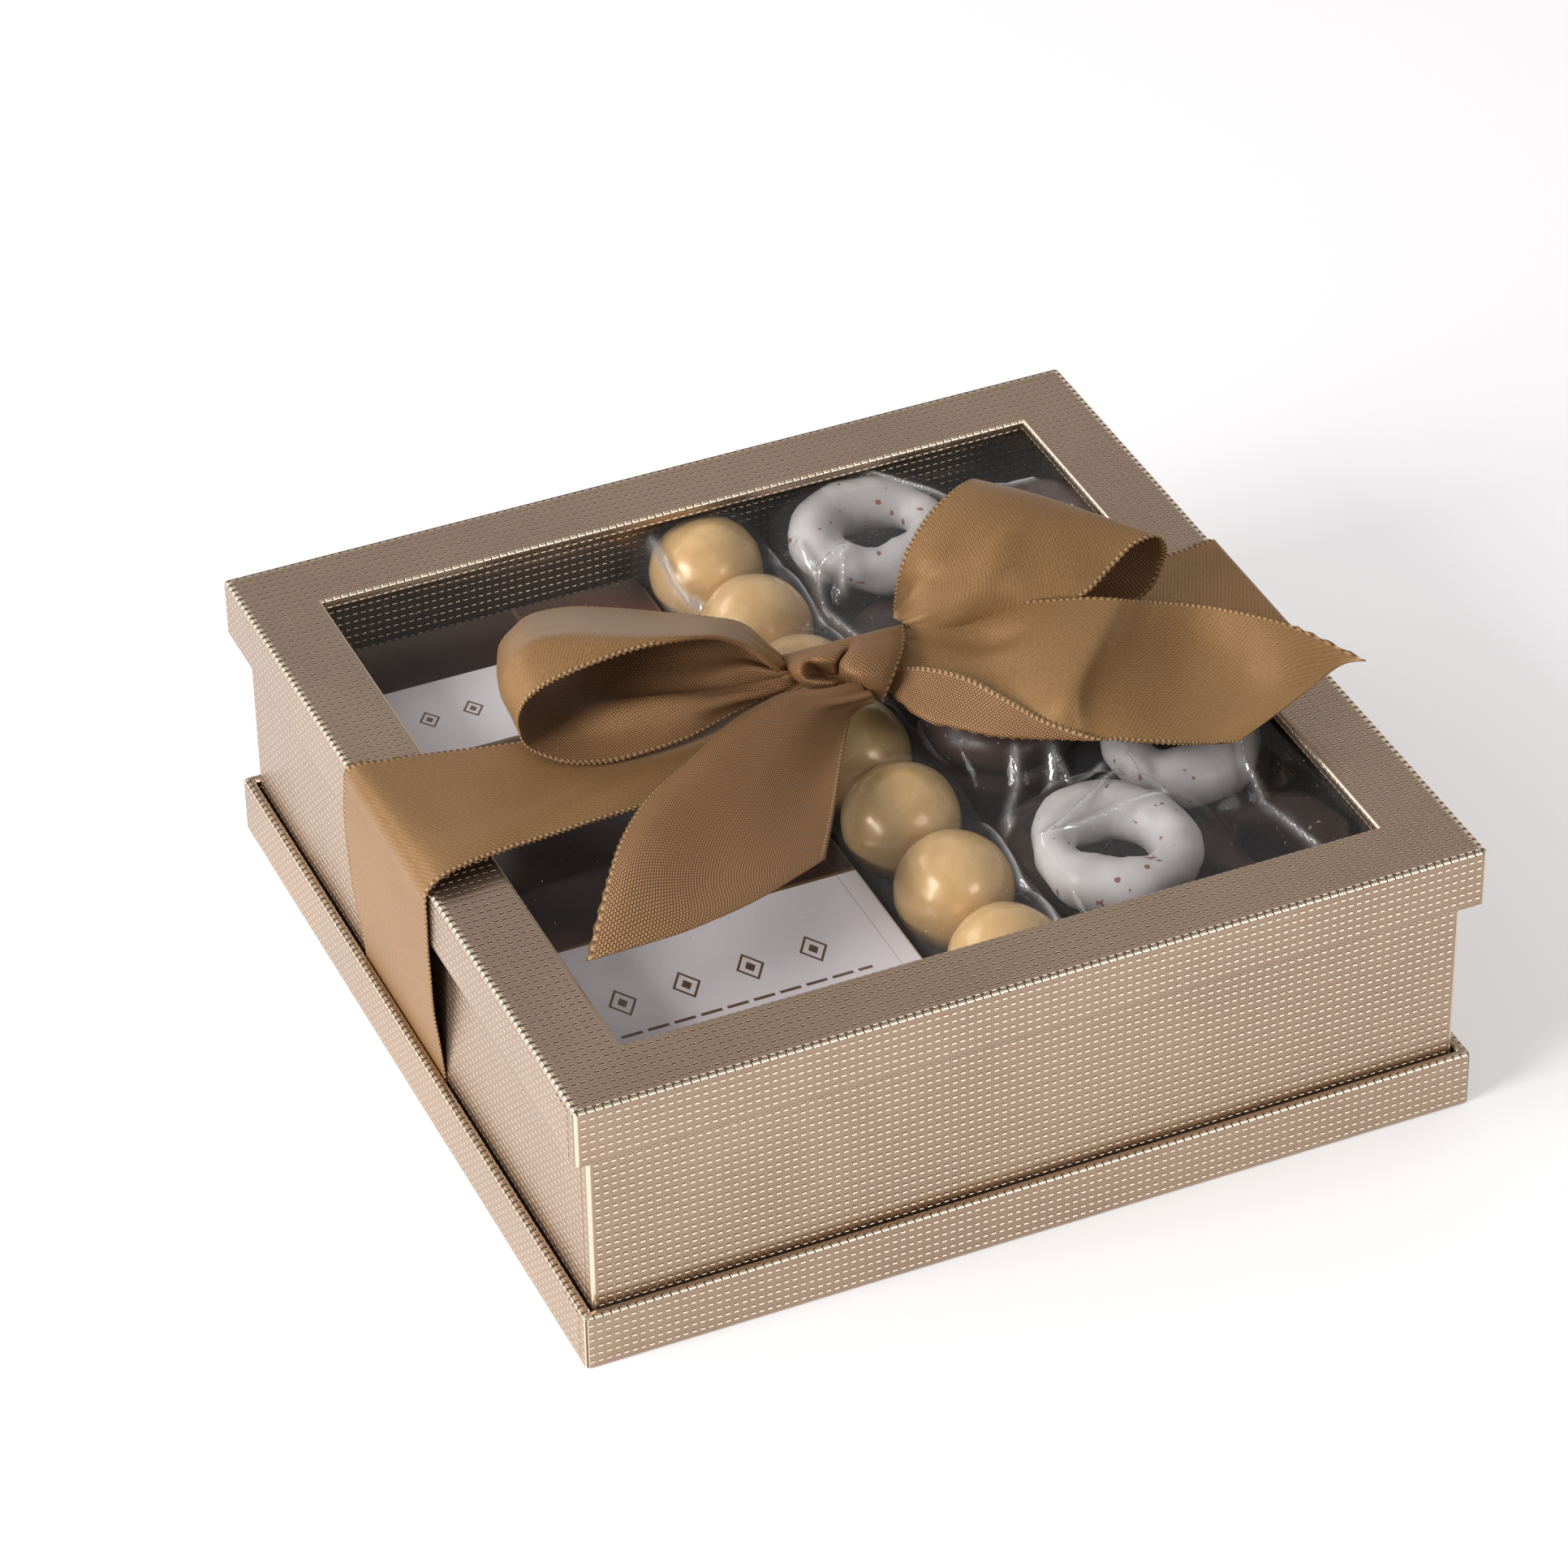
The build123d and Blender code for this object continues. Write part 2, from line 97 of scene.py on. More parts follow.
def addCamera(c):
    forward, right = Vector(c["forward"]).normalized(), Vector(c["right"]).normalized()
    up = right.cross(forward).normalized()
    turn = Matrix((right, up, -forward)).transposed().to_4x4()
    data = bpy.data.cameras.new("camera")
    data.sensor_width = c["sensor"]
    data.lens = c["focalPixels"] / c["imagePixels"] * c["sensor"]
    data.clip_start, data.clip_end = c["clip"]
    made = addObject("camera", data)
    made.matrix_world = Matrix.Translation(Vector(c["place"])) @ turn
    bpy.context.scene.camera = made


def seenAt(u, v, height, c=camera):
    # the place (millimetres) that pixel u, v of the photograph shows at a height above the table
    forward, right = Vector(c["forward"]).normalized(), Vector(c["right"]).normalized()
    down = forward.cross(right)
    middle = c["imagePixels"] / 2
    ray = forward * c["focalPixels"] + right * (u - middle) + down * (v - middle)
    place = Vector(c["place"])
    return tuple((place + ray * ((height * mm - place.z) / ray.z)) / mm)


def addLamp(name, c):
    data = bpy.data.lights.new(name, "AREA")
    data.shape = "RECTANGLE"
    data.size, data.size_y = c["size"]
    data.energy = c["power"]
    data.color = c["tint"]
    lamp = addObject(name, data)
    towards = Vector(c["towards"]).normalized()
    lamp.location = towards * c["away"]
    lamp.rotation_mode = "QUATERNION"
    lamp.rotation_quaternion = towards.to_track_quat("Z", "Y")


# Small helpers for node materials

def sumOf(operation):
    return lambda *values: mathNode(operation, *values)


class Value:
    # an output of a node; sums with it are math nodes
    __add__, __sub__, __mul__ = sumOf("ADD"), sumOf("SUBTRACT"), sumOf("MULTIPLY")
    __truediv__, __abs__ = sumOf("DIVIDE"), sumOf("ABSOLUTE")

    def __init__(self, mat, socket):
        self.mat, self.socket = mat, socket


def newMaterial(name):
    mat = bpy.data.materials.new(name)
    mat.use_nodes = True
    mat.node_tree.nodes.clear()
    return mat, addNode(mat, "ShaderNodeTexCoord", "Object")


def addNode(mat, kind, out=0, inputs=None, **settings):
    # a Value is joined to the input it is for, and a number or a colour is set there
    node = mat.node_tree.nodes.new(kind)
    for key, value in settings.items():
        setattr(node, key, value)
    for place, value in (inputs or {}).items():
        if isinstance(value, Value):
            mat.node_tree.links.new(value.socket, node.inputs[place])
        else:
            node.inputs[place].default_value = (*value, 1.0) if isinstance(value, tuple) else value
    if node.outputs:
        return Value(mat, node.outputs[out])


def mathNode(operation, a, *others):
    return addNode(a.mat, "ShaderNodeMath", 0, dict(enumerate((a, *others))), operation=operation)


def larger(a, *others):
    for b in others:
        a = mathNode("MAXIMUM", a, b)
    return a


def zigzag(value):
    # 0 at every whole number, 0.5 halfway between
    return mathNode("PINGPONG", value, 0.5)


def partsOf(vector):
    first = addNode(vector.mat, "ShaderNodeSeparateXYZ", 0, {0: vector})
    return [Value(vector.mat, socket) for socket in first.socket.node.outputs]


def noiseOf(where, scale, detail=2.0, rough=0.5):
    inputs = {"Vector": where, "Scale": scale, "Detail": detail, "Roughness": rough}
    return addNode(where.mat, "ShaderNodeTexNoise", "Fac", inputs)


def spread(value, low, high, toLow=0.0, toHigh=1.0, kind="SMOOTHSTEP"):
    inputs = dict(enumerate((value, low, high, toLow, toHigh)))
    return addNode(value.mat, "ShaderNodeMapRange", 0, inputs, interpolation_type=kind)


def fall(value, low, high, top=1.0):
    return spread(value, low, high, top, 0.0)


def blendColours(factor, a, b):
    return addNode(factor.mat, "ShaderNodeMix", 2, {0: factor, 6: a, 7: b}, data_type="RGBA")


def blendValues(factor, a, b):
    return addNode(factor.mat, "ShaderNodeMix", 0, {0: factor, 2: a, 3: b}, data_type="FLOAT")


def shade(value, between, a, b, share=1.0):
    return blendColours(spread(value, *between, 0.0, share), a, b)


def clouded(where, colour, other, scale, share):
    # broad faint clouds of another colour
    return shade(noiseOf(where, scale), middling, colour, other, share)


def addBump(height, distance, strength=1.0, under=None):
    inputs = {"Height": height, "Distance": distance, "Strength": strength}
    if under:
        inputs["Normal"] = under
    return addNode(height.mat, "ShaderNodeBump", 0, inputs)


def addShader(mat, colour, roughness, **inputs):
    inputs.update({"Base Color": colour, "Roughness": roughness})
    shader = addNode(mat, "ShaderNodeBsdfPrincipled", 0, inputs)
    addNode(mat, "ShaderNodeOutputMaterial", inputs={0: shader})
    return mat


# Embossed foil paper: rows of short pressed dashes between narrow column seams, in bronze foil;
# where the paper turns over an edge the seams open into beads. The dashes' lips, the turned edges and
# the rim strip are lightened in colour as painted highlight; the dashes, seams and rim rungs are
# darkened in colour as painted shade

embossedPaper = {
    "foil": (0.44, 0.325, 0.235), "foilWorn": (0.385, 0.28, 0.20), "foilPatches": (0.3, 0.75),
    # painted shade colour for the dashes, the seams and the rim rungs
    "groove": (0.115, 0.076, 0.049), "grooveFrom": (0.35, 1.0), "grooveShare": 0.92,
    # painted highlight colour for the dashes' lips, the turned edges and the rim strip
    "paintedHighlight": (0.94, 0.79, 0.60), "lipHighlightShare": 1.0, "edgeHighlightShare": 0.85, "topHighlightShare": 0.50, "rimHighlightShare": 0.95,
    "cell": {"x": 1.65 * mm, "y": 1.75 * mm, "z": 1.7 * mm}, "sway": 0.01 * mm,
    "drift": 0.03, "driftScale": 0.55, "lipShift": 0.17,
    # each mark's soft edge, from 0 in a seam to 0.5 on a cell's middle
    "dashWide": (0.07, 0.16), "dashLong": (0.17, 0.27), "lipWide": (0.04, 0.12),
    "seamWide": (0.0, 0.15), "rungWide": (0.18, 0.27), "pillowWide": (0.05, 0.5),
    "sideDash": 0.55, "seamDeep": (1.5, 0.12), "pillow": 0.10, "height": 0.16 * mm,
    "facing": (0.4, 0.9), "flatFace": (0.90, 0.985), "rimWide": (1.5 * mm, 1.05 * mm),
    # noises: scale and detail
    "wave": (55.0, 1.0), "patches": (28.0, 3.0), "grain": (2600.0, 2.0), "grainShare": 0.05,
    "roughness": (0.24, 0.34), "roughPatches": (0.2, 0.8),
    "shader": {"Metallic": 0.9, "Specular IOR Level": 0.6},
}


def cellRamp(c, coord, axis, wave):
    # where a point lies in its cell and in the lip's, with a slow drift that makes the cells uneven
    pitch = c["cell"][axis]
    moved = wave * (c["sway"] / pitch * 2) + coord / pitch
    inputs = {"W": moved, "Scale": c["driftScale"], "Detail": 1.0}
    drift = addNode(coord.mat, "ShaderNodeTexNoise", "Fac", inputs, noise_dimensions="1D")
    phase = drift * c["drift"] + moved
    return zigzag(phase), zigzag(phase + c["lipShift"])


def rungMask(c, across, ramp, upward):
    # the rim's strip, and the rungs in it
    outer, inner = c["rimWide"]
    rim = spread(abs(across), cadBox[1][1] - outer, cadBox[1][1] - inner) * upward
    return rim, rim * fall(ramp, *c["rungWide"])


def makeEmbossedPaper(c):
    mat, where = newMaterial("embossedFoilPaper")
    x, y, z = partsOf(where)
    wave = noiseOf(where, *c["wave"]) - 0.5
    nx, ny, nz = (abs(part) for part in partsOf(addNode(mat, "ShaderNodeTexCoord", "Normal")))
    rampX, rampY, rampZ = (cellRamp(c, coord, axis, wave) for axis, coord in zip("xyz", (x, y, z)))
    upward = spread(nz, *c["facing"])
    row, lip = (blendValues(upward, a, b) for a, b in zip(rampZ, rampY))
    column = blendValues(spread(nx, *c["facing"]), rampX[0], rampY[0])
    flat = spread(larger(nx, ny, nz), *c["flatFace"])
    window = spread(column, *c["dashLong"]) * flat
    dash = fall(row, *c["dashWide"]) * window * spread(upward, 0.0, 1.0, c["sideDash"], 1.0)
    seam = fall(column, *c["seamWide"]) * spread(flat, 0.0, 1.0, *c["seamDeep"], "LINEAR")
    deep = dash + seam
    height = spread(row, *c["pillowWide"]) * c["pillow"] - deep
    patches = noiseOf(where, *c["patches"])
    colour = shade(patches, c["foilPatches"], c["foilWorn"], c["foil"])
    # painted highlight: a light dash along each cell's lip, weaker on upward faces, and light over the
    # rounded edges
    lipHighlights = fall(lip, *c["lipWide"], c["lipHighlightShare"]) * window
    lipHighlights = lipHighlights * spread(upward, 0.0, 1.0, 1.0, c["topHighlightShare"])
    edges = spread(flat, 0.0, 1.0, c["edgeHighlightShare"], 0.0, "LINEAR")
    # rungs pressed along the rim of the lid and of the base, drawn in colour only: painted shade in the rungs
    # and a painted highlight over the rim strip
    masks = (rungMask(c, across, ramp[0], upward) for across, ramp in ((y, rampX), (x, rampY)))
    rim, rungs = (larger(*pair) for pair in zip(*masks))
    # the painted highlight is laid on the lips, the turned edges and the rim strip
    colour = blendColours(larger(lipHighlights, edges, rim * c["rimHighlightShare"]), colour, c["paintedHighlight"])
    # painted shade: the dashes, seams and rungs are darkened towards the dark groove colour
    colour = shade(larger(deep, rungs), c["grooveFrom"], colour, c["groove"], c["grooveShare"])
    bump = addBump(noiseOf(where, *c["grain"]) * c["grainShare"] + height, c["height"])
    rough = spread(patches, *c["roughPatches"], *c["roughness"])
    return addShader(mat, colour, rough, Normal=bump, **c["shader"])


# Plain coated paper, board and card

plainPapers = {
    "liningPaper": {
        "colour": (0.050, 0.037, 0.028), "dark": (0.035, 0.026, 0.020),
        "fibres": (900.0, 4.0, 0.65), "bump": 0.02 * mm, "roughness": 0.8,
    },
    "greyBoard": {
        "colour": (0.42, 0.39, 0.35), "dark": (0.30, 0.28, 0.25),
        "fibres": (600.0, 4.0, 0.65), "bump": 0.04 * mm, "roughness": 0.9,
    },
    "brownCard": {
        "colour": (0.034, 0.024, 0.020), "dark": (0.022, 0.015, 0.012),
        "fibres": (700.0, 4.0, 0.65), "bump": 0.03 * mm, "roughness": 0.7,
    },
}
paperClouds = (40.0, 0.25)      # scale and share, as with the ribbon's clouds


def makePlainPaper(name, c):
    mat, where = newMaterial(name)
    fibres = noiseOf(where, *c["fibres"])
    colour = shade(fibres, middling, c["dark"], c["colour"])
    colour = clouded(where, colour, c["dark"], *paperClouds)
    return addShader(mat, colour, c["roughness"], Normal=addBump(fibres, c["bump"]))


# Clear film: it shows what is behind it, mirrors the lamps and carries a little dust;
# where a bag's film is creased it lies double and mirrors more, and a pale veil beside the crests is painted
# highlight

clearFilms = {
    "windowFilm": {
        "tint": (0.985, 0.985, 0.985), "gloss": 0.04, "mirror": 0.004, "creased": 0.0,
        "haze": 0.003, "dust": 1700.0, "dustLeast": 0.775, "ripple": 0.10 * mm, "rippleScale": 14.0,
    },
    "bagFilm": {
        "tint": (0.985, 0.985, 0.985), "gloss": 0.10, "mirror": 0.012,
        # the crease veil's share and power set a painted highlight beside the crests
        "creased": 0.85, "creaseBump": 0.6 * mm, "milky": 0.30, "milkyPower": 0.4,
        "haze": 0.026, "dust": 1500.0, "dustLeast": 0.79, "ripple": 0.25 * mm, "rippleScale": 90.0,
    },
}
filmEdge = {"power": 5.0, "share": 0.5}         # a film seen edge on is a mirror
# one colour for the dust specks and haze and for the painted highlight beside a bag's creases
filmDustAndGlint = {"colour": (0.8, 0.8, 0.8), "soft": 0.05, "most": 0.6}


def makeClearFilm(name, c):
    mat, where = newMaterial(name)
    ripple = addBump(noiseOf(where, c["rippleScale"]), c["ripple"], 0.6)
    crease = addNode(mat, "ShaderNodeAttribute", "Fac", attribute_name="crease")
    if c["creased"]:
        ripple = addBump(crease, c["creaseBump"], 1.0, ripple)
    clear = addNode(mat, "ShaderNodeBsdfTransparent", 0, {"Color": c["tint"]})
    inputs = {"Color": white, "Roughness": c["gloss"], "Normal": ripple}
    gloss = addNode(mat, "ShaderNodeBsdfAnisotropic", 0, inputs)
    facing = addNode(mat, "ShaderNodeLayerWeight", "Facing", {"Blend": 0.5, "Normal": ripple})
    mirror = mathNode("POWER", facing, filmEdge["power"]) * filmEdge["share"] + c["mirror"]
    least = c["dustLeast"]
    specks = spread(noiseOf(where, c["dust"], 1.0), least, least + filmDustAndGlint["soft"], 0.0, filmDustAndGlint["most"])
    cloud = specks + c["haze"]
    if c["creased"]:        # a pale veil beside the crests is painted highlight, standing in for their glints
        mirror = crease * c["creased"] + mirror
        cloud = mathNode("POWER", crease, c["milkyPower"]) * c["milky"] + cloud
    shine = addNode(mat, "ShaderNodeMixShader", 0, {0: mirror, 1: clear, 2: gloss})
    veil = addNode(mat, "ShaderNodeBsdfDiffuse", 0, {"Color": filmDustAndGlint["colour"]})
    dusty = addNode(mat, "ShaderNodeMixShader", 0, {0: cloud, 1: shine, 2: veil})
    addNode(mat, "ShaderNodeOutputMaterial", inputs={0: dusty})
    return mat


# Ribbon: satin outside, woven inside, with ribbed selvedges; sizes in millimetres.
# Its UV map is in metres of ribbon, along it and across it from its middle

ribbonCloth = {
    "width": 40.0, "thickness": 0.3, "step": 0.32, "columns": 48, "evenColumns": 0.35, "evenWeave": 0.7,
    "selvedge": 1.0, "selvedgeSoft": 0.15, "picotPitch": 1.2, "picotOut": 0.24,
    "rib": (0.06, 0.40), "ribHigh": 0.16, "edge": (0.47, 0.285, 0.135), "edgeGap": (0.15, 0.08, 0.034),
}

satinSide = {
    "colour": (0.375, 0.212, 0.088), "deep": (0.18, 0.097, 0.037), "tones": (0.25, 0.70),
    "threadPitch": 0.5, "threadSlant": 0.35, "tiePitch": 0.8, "tieSlant": 0.5, "tieShare": 0.5,
    "grain": 1500.0, "grainShare": 0.4, "weaveShare": 0.8, "clouds": (45.0, 0.2), "high": 0.03,
    "roughness": (0.42, 0.62), "shader": {
        "Metallic": 0.30, "Anisotropic": 0.4, "Specular IOR Level": 0.25,
        "Sheen Weight": 0.01, "Sheen Roughness": 0.4,
    },
}

wovenSide = {
    "colour": (0.47, 0.248, 0.100), "gap": (0.075, 0.033, 0.013), "clouds": (60.0, 0.18),
    "pitchAlong": 0.60, "pitchAcross": 0.48, "dotLong": (0.03, 0.26), "dotWide": (0.02, 0.30), "high": 0.09,
    "roughness": 0.52, "shader": {"Metallic": 0.28, "Sheen Weight": 0.015, "Sheen Roughness": 0.4},
}


def ribbonAxes(mat):
    flat = addNode(mat, "ShaderNodeUVMap", uv_map="ribbon")
    return flat, *partsOf(flat)[:2]


def addSelvedge(along, across, colour, weave, c=ribbonCloth):
    # ribbed edges over the cloth's own colour and bump, and a mask that is 1 on them
    edge = (c["width"] / 2 - c["selvedge"]) * mm
    mask = spread(abs(across), edge, edge + c["selvedgeSoft"] * mm)
    ribs = spread(zigzag(along / (c["picotPitch"] * mm)), *c["rib"])
    colour = blendColours(mask, colour, blendColours(ribs, c["edgeGap"], c["edge"]))
    return colour, addBump(mask * ribs, c["ribHigh"] * mm, 0.9, weave), mask


def makeSatin(c):
    mat, where = newMaterial("ribbonSatin")
    flat, along, across = ribbonAxes(mat)
    # warp floats: long fine threads with a slight slant where the weft ties them
    threads = zigzag((along * c["threadSlant"] + across) / (c["threadPitch"] * mm))
    ties = zigzag((across * c["tieSlant"] + along) / (c["tiePitch"] * mm))
    weave = ties * c["tieShare"] + threads
    tone = noiseOf(flat, c["grain"]) * c["grainShare"] + weave * c["weaveShare"]
    colour = shade(tone, c["tones"], c["deep"], c["colour"])
    colour = clouded(where, colour, c["deep"], *c["clouds"])
    colour, bump, mask = addSelvedge(along, across, colour, addBump(weave, c["high"] * mm, 0.9))
    rough = spread(mask, 0.0, 1.0, *c["roughness"])
    grainWay = addNode(mat, "ShaderNodeTangent", direction_type="UV_MAP", uv_map="ribbon")
    return addShader(mat, colour, rough, Normal=bump, Tangent=grainWay, **c["shader"])


def makeWoven(c):
    mat, where = newMaterial("ribbonWoven")
    _, along, across = ribbonAxes(mat)
    # staggered dots: warp ends that show between the weft
    row = across / (c["pitchAcross"] * mm)
    column = along / (c["pitchAlong"] * mm) + mathNode("FLOOR", row) * 0.5
    dots = spread(zigzag(row), *c["dotWide"]) * spread(zigzag(column), *c["dotLong"])
    colour = blendColours(dots, c["gap"], c["colour"])
    colour = clouded(where, colour, satinSide["deep"], *c["clouds"])
    colour, bump, _ = addSelvedge(along, across, colour, addBump(dots, c["high"] * mm, 0.8))
    return addShader(mat, colour, c["roughness"], Normal=bump, **c["shader"])


def smoothAt(points, place):
    # a smooth curve through the points, at place 0 to len(points) - 1
    last = len(points) - 1
    i = min(int(place), last - 1)
    f = place - i
    a, b, c, d = (points[min(max(j, 0), last)] for j in (i - 1, i, i + 1, i + 2))
    bend = 2 * a - 5 * b + 4 * c - d
    return 0.5 * (2 * b + (c - a) * f + bend * f * f + (3 * b - a - 3 * c + d) * f ** 3)


def evenPlaces(points, shares, pieces=24):
    # places on the smooth curve that lie at these shares of its length, and that length
    fine = pieces * (len(points) - 1)
    places = [k / pieces for k in range(fine + 1)]
    line = [smoothAt(points, place) for place in places]
    run = [0.0]
    for a, b in zip(line, line[1:]):
        run.append(run[-1] + (b - a).length)
    out, k = [], 0
    for share in shares:
        target = run[-1] * share
        while k < fine - 1 and run[k + 1] < target:
            k += 1
        part = (target - run[k]) / max(run[k + 1] - run[k], 1e-9)
        out.append(places[k] + (places[k + 1] - places[k]) * min(max(part, 0.0), 1.0))
    return out, run[-1]


def gaussian(distance, width):
    return math.exp(-(distance / width) ** 2)


def lineDistance(a, b, line):
    best = math.inf
    for (x0, y0), (x1, y1) in zip(line, line[1:]):
        dx, dy = x1 - x0, y1 - y0
        k = min(max(((a - x0) * dx + (b - y0) * dy) / (dx * dx + dy * dy), 0.0), 1.0)
        best = min(best, math.hypot(a - x0 - k * dx, b - y0 - k * dy))
    return best


def liftAt(spec, run, t, crown):
    # how far the cloth stands off its flat form, at a share of its length and of its width
    lift = crown * 4 * t * (1 - t)
    for waves, deep, reach, atStart, atEnd in spec.get("gathers", ()):
        near = atStart * gaussian(run, reach) + atEnd * gaussian(1 - run, reach)
        lift += deep * near * math.sin(2 * math.pi * waves * t + 0.6) * min(1.0, 5 * t, 5 * (1 - t))
    for path, high, wide in spec.get("folds", ()):
        lift += high * gaussian(lineDistance(run, t, path), wide)
    return lift


def ribbonSurface(c, spec):
    # one line of points for each step along the ribbon, from its first edge to its second
    count = spec.get("columns", c["columns"])
    shares, even = [], c["evenColumns"]
    for k in range(count + 1):
        x = k / count
        shares.append(even * x + (1 - even) * (0.5 - 0.5 * math.cos(math.pi * x)))   # finer towards the edges
    controls = list(zip(*([Vector(point) for point in row[:-1]] for row in spec["rows"])))
    crowns = [row[-1] for row in spec["rows"]]
    middle = [smoothAt(line, evenPlaces(line, [0.5])[0][0]) for line in zip(*controls)]
    steps = round(evenPlaces(middle, [1.0])[1] / c["step"])
    places, length = evenPlaces(middle, [i / steps for i in range(steps + 1)])
    flat = []
    for place in places:
        line = [smoothAt(control, place) for control in controls]
        flat.append([smoothAt(line, across) for across in evenPlaces(line, shares)[0]])
    surface = []
    for i, place in enumerate(places):
        crown = smoothAt(crowns, place)
        ahead, behind = flat[min(i + 1, steps)], flat[max(i - 1, 0)]
        line = []
        for k, t in enumerate(shares):
            across = flat[i][min(k + 1, count)] - flat[i][max(k - 1, 0)]
            normal = across.cross(ahead[k] - behind[k]).normalized()
            line.append(flat[i][k] + normal * liftAt(spec, i / steps, t, crown))
        surface.append(line)
    # picots: the two outer columns swing in and out along the edge
    for i, line in enumerate(surface):
        swing = c["picotOut"] * math.cos(2 * math.pi * i * c["step"] / c["picotPitch"])
        for edge, inner in ((0, 1), (-1, -2)):
            line[edge] = line[edge] + (line[edge] - line[inner]).normalized() * swing
    return surface, shares, length


# Small helpers for meshes

def meshObject(name, bm, *materials):
    mesh = bpy.data.meshes.new(name)
    bm.to_mesh(mesh)
    bm.free()
    for mat in materials:
        mesh.materials.append(mat)
    return addObject(name, mesh)


def putPart(bm, part, turn, middle):
    bmesh.ops.rotate(part, verts=part.verts, matrix=turn)
    bmesh.ops.translate(part, verts=part.verts, vec=middle)
    scratch = bpy.data.meshes.new("scratch")
    part.to_mesh(scratch)
    part.free()
    bm.from_mesh(scratch)
    bpy.data.meshes.remove(scratch)


def finishPiece(bm, name, body, finish, nodes=(), smooth=True):
    for face in bm.faces:
        face.smooth = smooth
    piece = meshObject(name, bm, finishes[finish])
    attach(piece, body)
    if nodes:
        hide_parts(*nodes)


def makeRibbon(spec, c):
    surface, shares, length = ribbonSurface(c, spec)
    rowCount, columnCount = len(surface), len(shares)
    width = spec.get("width", c["width"])
    bm = bmesh.new()
    uv = bm.loops.layers.uv.new("ribbon")
    bmesh.ops.create_grid(bm, x_segments=columnCount - 1, y_segments=rowCount - 1, size=0.5)
    for v, place in zip(bm.verts, (place for line in surface for place in line)):
        v.co = place * mm
    # how far each column has run, so that the weave keeps its size on a slant
    run = [[0.0] * columnCount]
    for behind, ahead in zip(surface, surface[1:]):
        run.append([far + (b - a).length for far, a, b in zip(run[-1], behind, ahead)])
    for face in bm.faces:
        for loop in face.loops:
            i, k = divmod(loop.vert.index, columnCount)
            if spec.get("turned"):      # the ribbon runs from the first edge to the second
                loop[uv].uv = (shares[k] * width * mm, (i / (rowCount - 1) - 0.5) * c["width"] * mm)
            else:
                even = run[-1][columnCount // 2] * i / (rowCount - 1)
                along = c["evenWeave"] * even + (1 - c["evenWeave"]) * run[i][k]
                loop[uv].uv = (along * mm, (shares[k] - 0.5) * width * mm)
        face.smooth = True
    sides = ("woven", "satin") if spec.get("wovenUp") else ("satin", "woven")
    piece = meshObject(spec["name"], bm, *(finishes[side] for side in sides))
    shell = piece.modifiers.new("thickness", "SOLIDIFY")
    shell.thickness = c["thickness"] * mm
    shell.offset = 0.0
    shell.use_rim = True
    shell.material_offset = 1
    return piece, length


# Bow, tails and runs: rows of points across the ribbon, read from the photograph as pixel u, v and
# a height in millimetres, or places in millimetres, then how far the ribbon's middle stands out.
# Gathers: waves across, depth, reach, share at the start and at the end. Folds: a ridge's path of
# (share along, share across), its height and its width

def photographed(pixels):
    return [(*map(seenAt, row[::3], row[1::3], row[2::3]), 0.0) for row in pixels]


bowLeftPixels = (
    (972, 836, 64.8, 970, 832, 65.8, 969, 827, 66.4, 968, 821, 66.4, 966, 812, 65.8),
    (950, 823, 69.0, 949, 818, 70.0, 947, 811, 70.6, 945, 802, 70.2, 944, 792, 68.6),
    (920, 801, 73.4, 918, 796, 74.8, 914, 788, 75.2, 911, 778, 73.8, 914, 768, 70.8),
    (884, 788, 77.4, 884, 785, 78.8, 878, 777, 77.8, 872, 768, 75.2, 872, 760, 71.4),
    (840, 790, 80.2, 837, 785, 81.4, 828, 775, 78.6, 820, 764, 74.0, 820, 755, 69.2),
    (780, 802, 81.0, 778, 787, 82.0, 768, 774, 79.2, 762, 760, 74.2, 764, 750, 68.4),
    (720, 823, 80.2, 717, 788, 82.0, 708, 773, 79.4, 702, 759, 74.6, 704, 748, 68.2),
    (676, 843, 78.4, 668, 794, 81.4, 660, 781, 79.6, 654, 768, 75.4, 655, 757, 69.0),
    (650, 862, 75.8, 639, 812, 79.6, 634, 800, 78.6, 630, 788, 75.6, 630, 776, 70.6),
    (641, 876, 72.8, 625, 834, 76.2, 619, 822, 75.2, 616, 808, 72.6, 616, 794, 68.8),
    (638, 888, 69.8, 619, 856, 71.4, 615, 844, 70.6, 613, 828, 68.6, 614, 812, 66.0),
    (640, 901, 66.8, 627, 876, 66.8, 621, 862, 66.2, 619, 842, 65.0, 619, 822, 63.8),
    (645, 915, 64.4, 640, 893, 63.6, 636, 870, 63.2, 632, 840, 63.0, 628, 806, 62.8),
    (662, 928, 63.2, 668, 905, 62.8, 668, 875, 62.8, 660, 842, 62.8, 650, 795, 62.8),
    (700, 940, 62.8, 706, 912, 62.9, 708, 880, 63.6, 702, 850, 63.0, 684, 792, 63.2),
    (750, 939, 62.8, 754, 908, 64.0, 758, 870, 67.0, 756, 850, 64.0, 734, 780, 66.6),
    (800, 927, 63.0, 803, 896, 65.0, 808, 861, 68.6, 808, 850, 65.0, 790, 780, 69.4),
    (850, 909, 63.2, 854, 884, 65.4, 862, 857, 68.6, 866, 847, 65.4, 852, 776, 71.6),
    (900, 882, 63.6, 906, 866, 65.4, 914, 850, 67.8, 922, 844, 65.6, 908, 780, 71.6),
    (950, 858, 64.0, 954, 850, 65.2, 958, 845, 66.4, 962, 841, 65.6, 956, 810, 68.4),
    (985, 846, 64.0, 987, 842, 64.4, 989, 838, 64.8, 991, 834, 65.0, 990, 824, 65.4),
)

bowLeft = {
    "name": "bowLoopLeft", "node": "bow_loop_left", "held": "folded",
    "rests": ["bow_knot", "ribbon_left_run"],
    "gathers": ((3, 0.7, 0.06, 1, 0), (4, 1.7, 0.13, 0, 1)),
    "rows": photographed(bowLeftPixels),
}

